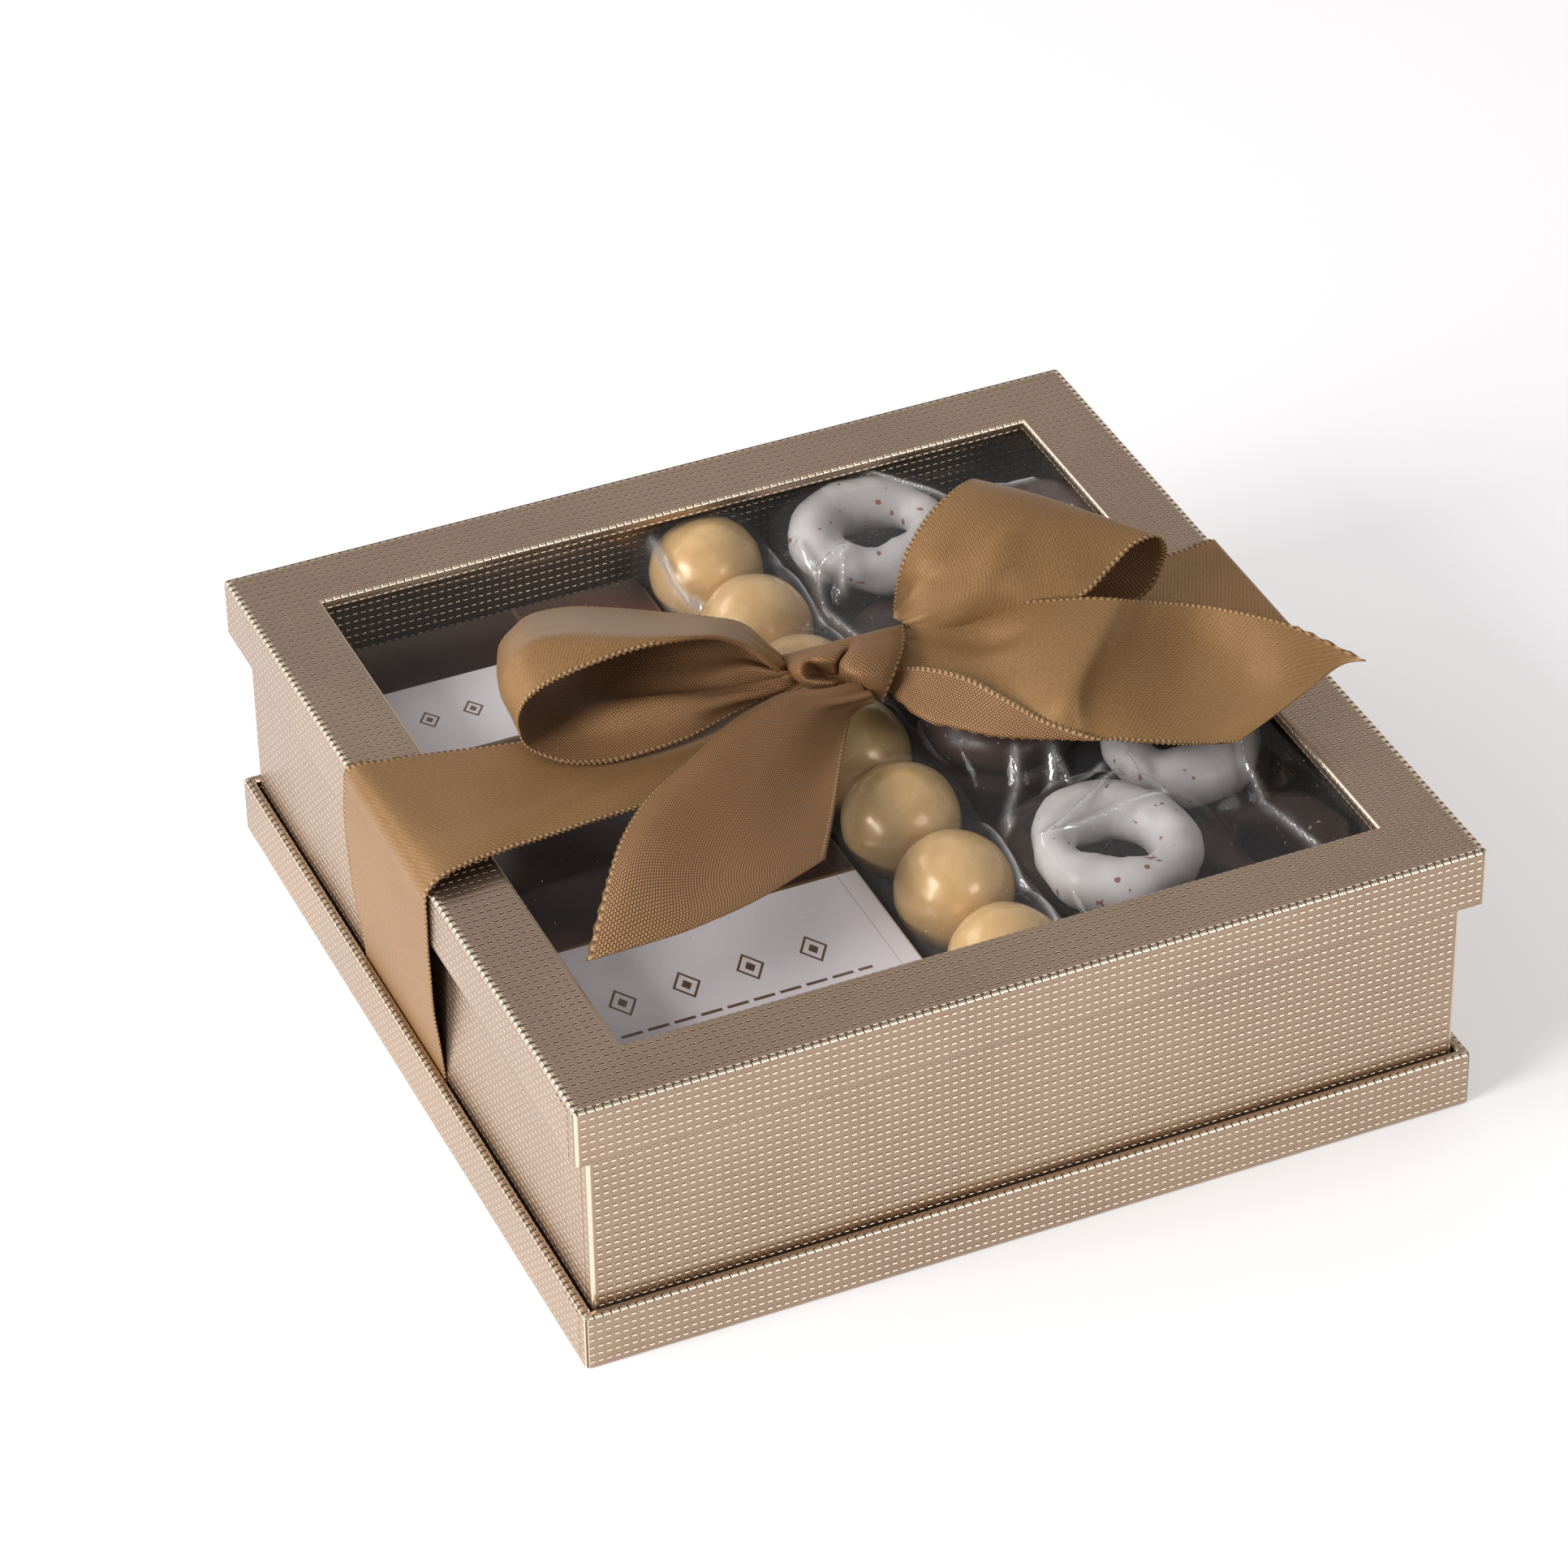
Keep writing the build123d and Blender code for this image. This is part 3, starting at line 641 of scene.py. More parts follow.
bowRightPixels = (
    (1101, 762, 67.6, 1106, 764, 68.2, 1112, 768, 67.6, 1122, 772, 67.0),
    (1102, 742, 70.6, 1118, 743, 70.0, 1138, 756, 69.9, 1158, 778, 66.2),
    (1106, 712, 73.6, 1136, 714, 73.6, 1176, 726, 73.6, 1220, 770, 67.0),
    (1118, 676, 76.4, 1160, 684, 77.4, 1216, 708, 75.4, 1286, 760, 68.2),
    (1142, 636, 79.0, 1196, 650, 80.2, 1262, 676, 78.0, 1338, 732, 71.8),
    (1168, 609, 80.4, 1228, 625, 81.4, 1300, 655, 79.2, 1370, 700, 74.4),
    (1188, 595, 80.2, 1252, 610, 80.8, 1324, 640, 79.2, 1398, 672, 76.6),
    (1202, 591, 78.0, 1268, 607, 78.6, 1342, 631, 78.0, 1426, 661, 76.6),
    (1206, 604, 74.0, 1276, 622, 74.4, 1352, 646, 74.2, 1437, 674, 73.0),
    (1204, 634, 67.6, 1272, 650, 68.2, 1346, 674, 68.2, 1432, 697, 68.4),
    (1190, 660, 63.4, 1256, 678, 63.4, 1324, 704, 63.6, 1412, 732, 63.8),
    (1166, 700, 62.6, 1220, 716, 62.6, 1278, 740, 62.8, 1340, 772, 62.8),
    (1132, 750, 63.0, 1162, 762, 62.8, 1196, 782, 62.8, 1230, 806, 62.8),
    (1102, 790, 64.0, 1108, 798, 63.8, 1114, 808, 63.6, 1120, 818, 63.4),
)

bowRight = {
    "name": "bowLoopRight", "node": "bow_loop_right", "held": "folded",
    "rests": ["bow_knot", "ribbon_right_run"],
    "gathers": ((3, 2.4, 0.16, 0, 1),),
    "folds": (
        (((0.05, 0.92), (0.13, 0.70), (0.24, 0.48)), 0.9, 0.06),
        (((0.08, 0.52), (0.20, 0.30)), -0.6, 0.08),
    ),
    "rows": photographed(bowRightPixels),
}

tailRightPixels = (
    (1110, 778, 66.6, 1106, 792, 66.6, 1100, 810, 66.0, 1090, 846, 63.4, 1100, 823, 66.8),
    (1152, 758, 68.6, 1150, 782, 67.6, 1144, 826, 65.6, 1134, 885, 62.6, 1142, 822, 68.2),
    (1204, 746, 69.0, 1202, 785, 67.4, 1193, 840, 65.8, 1180, 899, 62.5, 1190, 833, 68.4),
    (1262, 740, 70.8, 1252, 790, 69.4, 1240, 848, 66.8, 1230, 909, 62.6, 1238, 858, 67.8),
    (1330, 739, 72.6, 1311, 790, 72.0, 1292, 850, 69.0, 1278, 911, 62.8, 1284, 884, 66.0),
    (1374, 739, 73.6, 1350, 790, 73.0, 1326, 850, 69.8, 1318, 910, 63.0, 1324, 899, 64.4),
    (1394, 739, 73.0, 1374, 790, 71.4, 1350, 850, 68.0, 1350, 908, 63.0, 1354, 908, 63.4),
    (1424, 740, 71.2, 1412, 790, 68.6, 1396, 850, 66.4, 1392, 900, 63.8, 1392, 914, 63.0),
    (1476, 744, 70.2, 1472, 792, 66.4, 1462, 845, 64.6, 1454, 897, 63.2, 1450, 917, 62.6),
    (1532, 754, 71.4, 1532, 802, 68.0, 1526, 850, 65.4, 1498, 898, 63.4, 1486, 917, 62.6),
    (1596, 772, 73.0, 1590, 818, 70.8, 1570, 855, 68.0, 1528, 894, 64.6, 1508, 916, 62.8),
    (1684, 814, 73.6, 1652, 820, 71.9, 1612, 850, 69.4, 1562, 888, 65.6, 1524, 915, 62.8),
)

tailRight = {
    "name": "ribbonTailRight", "node": "ribbon_tail_right", "held": "draped",
    "rests": ["bow_loop_right", "lid_wrap"],
    "gathers": ((2, 0.35, 0.08, 1, 0),),
    "folds": (
        (((0.06, 0.10), (0.14, 0.16), (0.24, 0.24)), -0.9, 0.07),
        (((0.42, 0.02), (0.36, 0.20), (0.30, 0.34)), 0.6, 0.07),
    ),
    "rows": photographed(tailRightPixels),
}

tailLeftPixels = (
    (1056, 838, 66.6, 1064, 846, 67.0, 1074, 856, 66.2, 1078, 862, 64.8, 1074, 866, 63.2),
    (1012, 850, 66.2, 1022, 852, 67.6, 1040, 862, 66.8, 1052, 868, 64.2, 1060, 872, 62.4),
    (972, 852, 66.0, 984, 856, 68.2, 1010, 871, 66.8, 1036, 884, 63.2, 1048, 886, 62.2),
    (940, 866, 66.4, 952, 870, 69.0, 986, 892, 67.4, 1024, 912, 62.8, 1042, 908, 62.4),
    (898, 892, 66.6, 912, 896, 69.4, 956, 928, 67.2, 1008, 950, 62.9, 1036, 946, 62.6),
    (848, 938, 66.8, 866, 944, 69.4, 920, 980, 66.4, 984, 1000, 63.2, 1030, 986, 62.9),
    (800, 980, 67.0, 824, 988, 69.0, 888, 1030, 65.8, 962, 1038, 64.2, 1024, 1020, 63.2),
    (766, 1032, 66.8, 796, 1042, 68.2, 866, 1076, 65.6, 946, 1072, 65.0, 1018, 1050, 63.8),
    (746, 1092, 65.4, 778, 1094, 66.8, 852, 1112, 65.6, 938, 1092, 65.4, 1016, 1057, 64.0),
    (722, 1184, 62.3, 764, 1172, 63.8, 848, 1146, 65.0, 936, 1107, 65.2, 1017, 1058, 64.1),
)

tailLeft = {
    "name": "ribbonTailLeft", "node": "ribbon_tail_left", "held": "draped",
    "rests": ["ribbon_left_run", "lid_wrap"],
    "gathers": ((3, 0.5, 0.16, 1, 0),),
    "rows": photographed(tailLeftPixels),
}

runLeft = {
    "name": "ribbonRunLeft", "node": "ribbon_left_run", "held": "stretched",
    "rests": ["lid_wrap"], "wovenUp": True,
    "gathers": ((3, 0.3, 0.07, 0, 1),),
    "folds": (
        (((0.50, 0.05), (0.52, 0.45), (0.50, 0.95)), -0.5, 0.05),
        (((0.58, 0.12), (0.78, 0.30), (0.95, 0.42)), -1.2, 0.13),
    ),
    "rows": (
        ((-87.1, -14.8, 2.5), (-87.1, 26.4, 2.5), 0.0),
        ((-87.1, -15.6, 11.9), (-87.1, 26.0, 11.9), 0.0),
        ((-89.4, -18.0, 30.0), (-89.4, 24.4, 30.0), 0.2),
        ((-90.5, -20.2, 46.6), (-90.5, 23.2, 46.6), 0.1),
        ((-90.6, -20.6, 55.6), (-90.5, 21.8, 56.6), 0.0),
        ((-90.5, -20.8, 58.7), (-90.4, 21.4, 58.9), 0.0),
        ((-89.4, -20.8, 60.7), (-89.6, 21.0, 60.2), 0.0),
        ((-87.0, -20.6, 62.0), (-87.6, 20.5, 60.8), -0.1),
        ((-83.4, -20.0, 62.4), (-83.6, 19.6, 60.6), -0.3),
        ((-75.6, -18.8, 62.1), (-75.6, 18.8, 59.95), -0.5),
        ((-57.6, -17.2, 62.1), (-57.6, 15.2, 60.0), -0.7),
        ((-42.3, -16.0, 62.4), (-42.3, 12.4, 60.1), -0.6),
        ((-25.2, -12.0, 62.2), (-25.2, 9.6, 60.2), -0.4),
        ((-5.4, -1.8, 60.9), (-5.4, 9.8, 60.5), 0.0),
    ),
}

runRight = {
    "name": "ribbonRunRight", "node": "ribbon_right_run", "held": "stretched",
    "rests": ["lid_wrap"],
    "gathers": ((3, 0.3, 0.07, 0, 1),),
    "rows": (
        ((87.1, -16.0, 2.5), (87.1, 24.8, 2.5), 0.0),
        ((87.1, -16.4, 11.9), (87.1, 24.4, 11.9), 0.0),
        ((89.4, -17.8, 30.0), (89.4, 23.2, 30.0), 0.2),
        ((90.5, -18.8, 46.6), (90.5, 22.0, 46.6), 0.1),
        ((90.5, -19.6, 58.2), (90.5, 20.8, 58.2), 0.0),
        ((90.1, -19.6, 59.6), (90.1, 20.4, 59.6), 0.0),
        ((89.0, -19.6, 59.95), (89.0, 20.4, 59.95), 0.0),
        ((84.5, -19.0, 59.95), (84.5, 19.6, 59.95), 0.1),
        ((75.6, -18.4, 59.95), (75.6, 18.8, 59.95), 0.3),
        ((57.6, -15.2, 59.95), (57.6, 15.2, 59.95), 0.3),
        ((42.3, -13.2, 59.95), (42.3, 12.4, 59.95), 0.3),
        ((27.9, -10.0, 60.0), (27.9, 10.0, 60.0), 0.2),
        ((16.6, -1.8, 60.5), (16.6, 9.8, 60.4), 0.0),
    ),
}


# Knot: rows from left to right, each from the back down over the top to the front

knotPixels = (
    (962, 808, 66.6, 963, 814, 66.9, 965, 820, 66.6, 967, 825, 65.8,
     969, 829, 64.8, 971, 832, 63.8, 972, 834, 62.8),
    (972, 806, 67.8, 973, 813, 68.4, 975, 821, 68.5, 977, 828, 67.8,
     979, 834, 66.6, 981, 838, 65.4, 983, 841, 63.4),
    (986, 802, 68.7, 986, 810, 69.4, 986, 818, 69.8, 987, 826, 69.4,
     989, 833, 68.4, 992, 840, 67.2, 995, 847, 64.2),
    (1001, 798, 69.2, 1000, 806, 70.0, 998, 813, 70.3, 1000, 822, 67.4,
     1002, 832, 65.9, 1004, 840, 67.4, 1007, 850, 64.6),
    (1018, 794, 69.6, 1017, 804, 70.5, 1015, 814, 70.5, 1018, 825, 67.0,
     1021, 835, 65.2, 1024, 841, 66.9, 1027, 849, 64.4),
    (1034, 789, 69.9, 1033, 800, 70.7, 1030, 812, 70.3, 1029, 823, 68.0,
     1032, 833, 65.4, 1037, 840, 65.8, 1041, 847, 64.0),
    (1050, 785, 70.0, 1048, 795, 70.6, 1041, 805, 69.5, 1034, 816, 67.8,
     1035, 829, 66.4, 1046, 839, 65.6, 1056, 848, 64.0),
    (1064, 782, 70.0, 1060, 792, 71.0, 1050, 803, 71.3, 1039, 817, 70.6,
     1043, 829, 69.5, 1058, 840, 67.6, 1070, 852, 65.0),
    (1082, 777, 69.6, 1079, 790, 70.9, 1072, 805, 71.6, 1063, 820, 71.1,
     1062, 832, 70.0, 1070, 844, 67.8, 1079, 857, 64.6),
    (1100, 773, 68.9, 1100, 785, 70.0, 1097, 802, 70.7, 1091, 818, 70.4,
     1086, 832, 69.2, 1083, 846, 67.2, 1084, 861, 64.0),
    (1112, 770, 68.0, 1115, 782, 68.8, 1113, 800, 69.2, 1107, 818, 68.8,
     1100, 836, 67.4, 1094, 851, 65.6, 1088, 865, 63.2),
)
knotBack = {"foot": 61.4, "footIn": 2.2, "halfIn": 2.4}     # hidden in the photograph


def knotRows(pixels, c):
    rows = []
    for row in photographed(pixels):
        x, y, z = row[0]
        foot = (x, y + c["footIn"], c["foot"])
        half = (x, y + c["halfIn"], (z + c["foot"]) / 2)
        rows.append((foot, half, *row))
    return rows


knotCloth = {
    "name": "bowKnot", "node": "bow_knot", "held": "folded", "rests": ["lid_wrap"], "wovenUp": True,
    "width": 26.0, "columns": 64, "turned": True, "rows": knotRows(knotPixels, knotBack),
}


def makeRibbons(c):
    for spec in (bowLeft, bowRight, tailRight, tailLeft, runLeft, runRight, knotCloth):
        piece, length = makeRibbon(spec, c)
        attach(piece, "lid")
        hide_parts(spec["node"])
        cut = (spec.get("width", c["width"]) * mm, length * mm)
        cloth = sum(face.area for face in piece.data.polygons) / (cut[0] * cut[1])
        print("scene:", spec["name"], round(length, 1), "mm long, area", round(cloth, 2), "of its flat cut")


# Coated sweets. Lumps and bumps hold a height and a size in millimetres; spots are pale patches on
# the balls and specks on the rings

ringCoat = {
    "base": (110.0, 3.0), "deepFrom": middling, "spotShare": 1.0,
    "fine": (700.0, 3.0), "fineShare": 0.3, "roughBy": "fine", "bump": (0.22 * mm, 0.7),
}
ringShader = {"Coat Weight": 0.05, "Coat Roughness": 0.3, "Subsurface Scale": 0.002}

coatings = {
    "pearlCoating": {
        "colour": (0.80, 0.53, 0.225), "deep": (0.68, 0.42, 0.155), "spot": (0.86, 0.63, 0.34),
        "base": (130.0, 4.0, 0.6), "deepFrom": (0.35, 0.7),
        "spots": (42.0, 2.0), "spotFrom": (0.45, 0.75), "spotShare": 0.45, "fine": (900.0, 2.0),
        "fineShare": 0.15, "roughBy": "base", "roughness": (0.24, 0.38), "bump": (0.05 * mm, 0.6),
        "shader": {"Metallic": 0.1, "Coat Weight": 0.5, "Coat Roughness": 0.13,
                   "Subsurface Weight": 0.08, "Subsurface Scale": 0.002},
    },
    "whiteCoating": {
        **ringCoat, "colour": (0.60, 0.578, 0.568), "deep": (0.50, 0.475, 0.465),
        "spot": (0.28, 0.10, 0.05), "spots": (420.0, 1.5), "spotFrom": (0.685, 0.715),
        "roughness": (0.40, 0.60), "shader": {**ringShader, "Subsurface Weight": 0.12},
    },
    "darkCoating": {
        **ringCoat, "colour": (0.085, 0.046, 0.040), "deep": (0.045, 0.024, 0.021),
        "spot": (0.42, 0.36, 0.33), "spots": (520.0, 1.5), "spotFrom": (0.715, 0.745),
        "roughness": (0.34, 0.52), "shader": ringShader,
    },
}

ballRow = {
    "radius": 11.35, "around": 64, "up": 40, "seed": 4, "turn": 0.9, "axis": (0.3, 0.8, 0.5),
    "lumps": (0.35, 9.0), "bumps": (0.10, 2.5),
}

ring = {
    "radius": 11.2, "tube": 5.5, "around": 72, "tubeSteps": 28, "step": 5.3,
    "lumps": (-0.75, 6.5), "bumps": (0.18, 1.8),
    "thick": (0.94, -0.13, 0.07), "thickMost": 1.04, "oval": 0.05, "lean": 4, "leanFrom": 5.2,
}


def makeCoating(name, c):
    mat, where = newMaterial(name)
    noises = {key: noiseOf(where, *c[key]) for key in ("base", "spots", "fine")}
    colour = shade(noises["base"], c["deepFrom"], c["colour"], c["deep"])
    colour = shade(noises["spots"], c["spotFrom"], colour, c["spot"], c["spotShare"])
    rough = spread(noises[c["roughBy"]], *middling, *c["roughness"])
    bump = addBump(noises["fine"] * c["fineShare"] + noises["base"], *c["bump"])
    return addShader(mat, colour, rough, Normal=bump, **c["shader"])


def lumpy(bm, seed, lumps, bumps):
    shift = Vector((seed * 3.7, seed * 1.3, seed * 7.1))
    for v in bm.verts:
        p = v.co / mm
        push = sum(high * noise.noise(p / size + shift) for high, size in (lumps, bumps))
        v.co += v.normal * push * mm


def shellsOf(node):
    # the middle and half size of each separate solid of a CAD node, read from its mesh
    bm = bmesh.new()
    bm.from_mesh(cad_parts[node].data)
    bmesh.ops.remove_doubles(bm, verts=bm.verts, dist=0.001 * mm)
    left, found = set(bm.verts), []
    while left:
        pool, island = [left.pop()], []
        while pool:
            v = pool.pop()
            island.append(v.co.copy())
            for edge in v.link_edges:
                other = edge.other_vert(v)
                if other in left:
                    left.remove(other)
                    pool.append(other)
        low, high = (Vector(most(p[k] for p in island) for k in range(3)) for most in (min, max))
        found.append(((low + high) / 2, (high - low) / 2))
    bm.free()
    return sorted(found, key=lambda pair: (round(pair[0].y, 5), round(pair[0].x, 5)))


def makeBalls(c):
    bm = bmesh.new()
    for number, (middle, _) in enumerate(shellsOf("chocolate_balls")):
        part = bmesh.new()
        bmesh.ops.create_uvsphere(part, u_segments=c["around"], v_segments=c["up"], radius=c["radius"] * mm)
        part.normal_update()
        lumpy(part, number + c["seed"], c["lumps"], c["bumps"])
        putPart(bm, part, Matrix.Rotation(c["turn"] * number, 3, c["axis"]), middle)
    finishPiece(bm, "pearlBalls", "base", "pearlCoating", ["chocolate_balls"])


def ringPart(c, shift):
    # one ring round Z, thicker and thinner along its round
    part = bmesh.new()
    made = bmesh.ops.create_circle(part, segments=c["tubeSteps"], radius=c["tube"] * mm)
    bmesh.ops.rotate(part, verts=made["verts"], matrix=Matrix.Rotation(math.pi / 2, 3, "X"))
    bmesh.ops.translate(part, verts=made["verts"], vec=(c["radius"] * mm, 0, 0))
    bmesh.ops.spin(part, geom=part.edges[:], cent=(0, 0, 0), axis=(0, 0, 1), angle=2 * math.pi,
                   steps=c["around"], use_merge=True)
    bmesh.ops.remove_doubles(part, verts=part.verts, dist=0.01 * mm)
    bmesh.ops.recalc_face_normals(part, faces=part.faces)
    part.normal_update()
    even, twice, thrice = c["thick"]
    for v in part.verts:
        turn = math.atan2(v.co.y, v.co.x)
        thick = even + twice * math.cos(2 * turn + shift) + thrice * math.sin(3 * turn + 2 * shift)
        core = Vector((math.cos(turn), math.sin(turn), 0)) * c["radius"] * mm
        oval = 1 + c["oval"] * math.cos(2 * turn + 1.7 * shift)
        v.co = core * oval + (v.co - core) * min(thick, c["thickMost"])
    part.normal_update()
    lumpy(part, shift, c["lumps"], c["bumps"])
    return part


def makeRings(c, node, name, finish, seed):
    bm = bmesh.new()
    for number, (middle, half) in enumerate(shellsOf(node)):
        part = ringPart(c, seed + number * c["step"])
        lean = math.radians(c["lean"]) if half.z > c["leanFrom"] * mm else 0.0
        putPart(bm, part, Matrix.Rotation(lean, 3, "X"), middle)
    finishPiece(bm, name, "base", finish, [node])


# Bags of clear film, drawn over the sweets; each crease is a line of (x, y), its height and width

film = {
    "inset": 0.35, "endGap": 0.15, "play": 0.10, "bridge": 0.45, "drape": 1.6, "pull": 0.9,
    "edgeDrop": 2.2, "edgeWide": 1.6, "crestPower": 5.0, "ringTube": 5.1,
}

ballCreases = (
    (((15.8, 66.0), (14.6, 50.0), (14.8, 42.0), (14.1, 26.0)), 0.9, 0.9),
    (((14.6, -36.0), (14.0, -50.0), (13.2, -60.0), (12.6, -71.0)), 0.8, 0.9),
    (((-5.4, 78.0), (-6.2, 64.0), (-5.6, 52.0)), 0.8, 0.7),
    (((-4.8, 44.0), (-6.0, 38.0), (-5.2, 30.0)), 0.7, 0.6),
)

ringCreases = (
    (((36.0, -20.0), (33.7, -24.7), (29.6, -31.8)), 1.0, 0.9),
    (((29.6, -31.8), (34.8, -30.8), (39.7, -30.9), (41.7, -28.4)), 0.9, 0.8),
    (((35.9, -21.1), (37.6, -26.1), (41.0, -28.4), (42.3, -34.0)), 0.8, 0.7),
    (((42.0, -34.6), (33.3, -40.3), (25.7, -44.9), (20.4, -47.6)), 1.0, 0.9),
    (((46.7, -45.0), (38.3, -44.8), (28.2, -47.2), (20.4, -47.6)), 1.1, 0.9),
    (((28.9, -18.2), (26.9, -23.0), (23.9, -27.0), (20.7, -32.2), (18.6, -37.0)), 1.0, 0.8),
    (((46.8, -30.0), (46.8, -44.7)), 0.7, 0.6),
    (((19.0, 50.5), (20.6, 53.2), (26.2, 54.0)), 1.0, 1.2),
    (((26.2, 54.0), (23.0, 47.5)), 0.8, 0.9),
    (((19.5, 62.0), (18.6, 46.0), (20.5, 34.0), (19.0, 20.0)), 0.8, 0.7),
    (((60.0, 70.0), (66.0, 48.0), (62.0, 30.0)), 0.9, 0.8),
    (((72.0, -20.0), (66.0, -40.0), (70.0, -62.0)), 0.9, 0.8),
    (((40.0, 78.0), (52.0, 62.0), (70.0, 60.0)), 0.8, 0.8),
)

bags = {
    "ballBag": {
        "node": "ball_bag", "cells": (48, 240), "skirt": 5.4, "creases": ballCreases,
        "wave": 0.22, "waveSize": 8.0, "seed": 22, "foldReach": 2.2,
    },
    "ringBag": {
        "node": "ring_bag", "cells": (130, 320), "skirt": 9.0, "creases": ringCreases,
        "wave": 0.45, "waveSize": 11.0, "seed": 66, "foldReach": 2.6,
    },
}


def sweetTops(node):
    # highest points of each sweet as (x, y, top, radius of its crest, its tube's radius), millimetres
    tops, tube = [], film["ringTube"]
    for middle, half in shellsOf(node):
        x, y, z = middle / mm
        wide, tall = half.x / mm, half.z / mm
        tops.append((x, y, z + tall, *((0.0, tall) if node == "chocolate_balls" else (wide - tube, tube))))
    return tops


def filmHeight(x, y, tops, low, c=film):
    # a smooth blend of the sweets' tops, and never under the highest of them
    best, total, weight = low, 0.0, 0.0
    for tx, ty, top, crest, tube in tops:
        out = math.hypot(x - tx, y - ty) - crest
        away = abs(out) * (c["bridge"] if crest and out < 0 else 1.0)       # the film bridges a ring's hole
        height = top + c["play"] - away * away / (2.0 * tube * c["drape"])
        best = max(best, height)
        power = math.exp(min((height - low) * c["pull"], 40.0))
        total += power * height
        weight += power
    return max(best, total / max(weight, 1e-9)) if weight else best


def makeBag(name, c, tops):
    low, high = (Vector(p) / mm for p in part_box(c["node"]))
    bm = bmesh.new()
    bmesh.ops.create_grid(bm, x_segments=c["cells"][0], y_segments=c["cells"][1], size=0.5)
    creased = bm.verts.layers.float.new("crease")
    inset, wide, deep = film["inset"], *(high - low).xy
    for v in bm.verts:
        x = low.x + inset + (v.co.x + 0.5) * (wide - 2 * inset)
        y = low.y + inset + (v.co.y + 0.5) * (deep - 2 * inset)
        z = filmHeight(x, y, tops, high.z - c["skirt"])
        z += c["wave"] * noise.noise(Vector((x, y, c["seed"])) / c["waveSize"])
        for line, tall, width in c["creases"]:
            near = max(0.0, 1.0 - lineDistance(x, y, line) / (c["foldReach"] * width))
            z += tall * near
            v[creased] = max(v[creased], near ** film["crestPower"])
        edge = min(x - low.x, high.x - x, y - low.y, high.y - y) - inset
        z -= film["edgeDrop"] * gaussian(edge, film["edgeWide"])
        v.co = Vector((x, y, min(z, high.z - film["endGap"]))) * mm
    rim = [e for e in bm.edges if e.is_boundary]
    made = bmesh.ops.extrude_edge_only(bm, edges=rim)
    for v in made["geom"]:
        if isinstance(v, bmesh.types.BMVert):
            v.co.z = (low.z + film["endGap"]) * mm
    bmesh.ops.contextual_create(bm, geom=[e for e in bm.edges if e.is_boundary])
    bmesh.ops.recalc_face_normals(bm, faces=bm.faces)
    finishPiece(bm, name, "base", "bagFilm", [c["node"]])


# The bar's printed wrapper, plain bands with gold rules and small lozenges; sizes in millimetres

barPrint = {
    "white": (0.96, 0.905, 0.93), "cream": (0.82, 0.74, 0.64),
    "brown": (0.040, 0.021, 0.018), "brownWarm": (0.125, 0.055, 0.038),
    "gold": (0.17, 0.105, 0.035), "ink": (0.16, 0.085, 0.04),
    "backBand": (38.6, 62.0), "backEnd": -35.2, "frontBand": -27.5, "rule": 0.85, "topDeep": (1.3, 1.0),
    "slant": 0.8, "slantPitch": 23, "slantEdge": (0.05, 0.45),
    "glow": (26.0, 2.0), "glowPatches": (0.4, 0.75),
    "bigLozenge": {"pitch": 12.6, "at": -46.0, "slim": 1.5, "rings": (0.34, 0.27, 0.13)},
    "smallLozenge": {"pitch": 9.0, "at": 50.5, "slim": 1.3, "rings": (0.32, 0.24, 0.12)},
    "bigInset": (5, 9.5), "smallSpan": (-79, -41),
    "rulesAt": (-55.6, -60.2), "ruleThick": 0.8, "dashPitch": 5.2, "dashEdge": (0.09, 0.11),
    "foldIn": 4.2, "foldWide": 0.12, "foldShare": 0.7, "wrinkles": (75.0, 3.0), "wrinkleShare": 1.6,
    "bump": 0.12 * mm, "roughness": 0.3,
    "shader": {"Specular IOR Level": 0.5, "Coat Weight": 0.3, "Coat Roughness": 0.15},
}


def bandMask(value, low, high, soft=0.05):
    return spread(value, low - soft, low + soft) * fall(value, high - soft, high + soft)


def lozengeRow(x, y, c):
    # outlined lozenges with a filled middle, in a row along X
    reach = zigzag(x / c["pitch"]) * c["slim"] + abs(y - c["at"]) / c["pitch"]
    outer, inner, core = (fall(reach, edge - 0.01, edge) for edge in c["rings"])
    return larger(outer - inner, core)


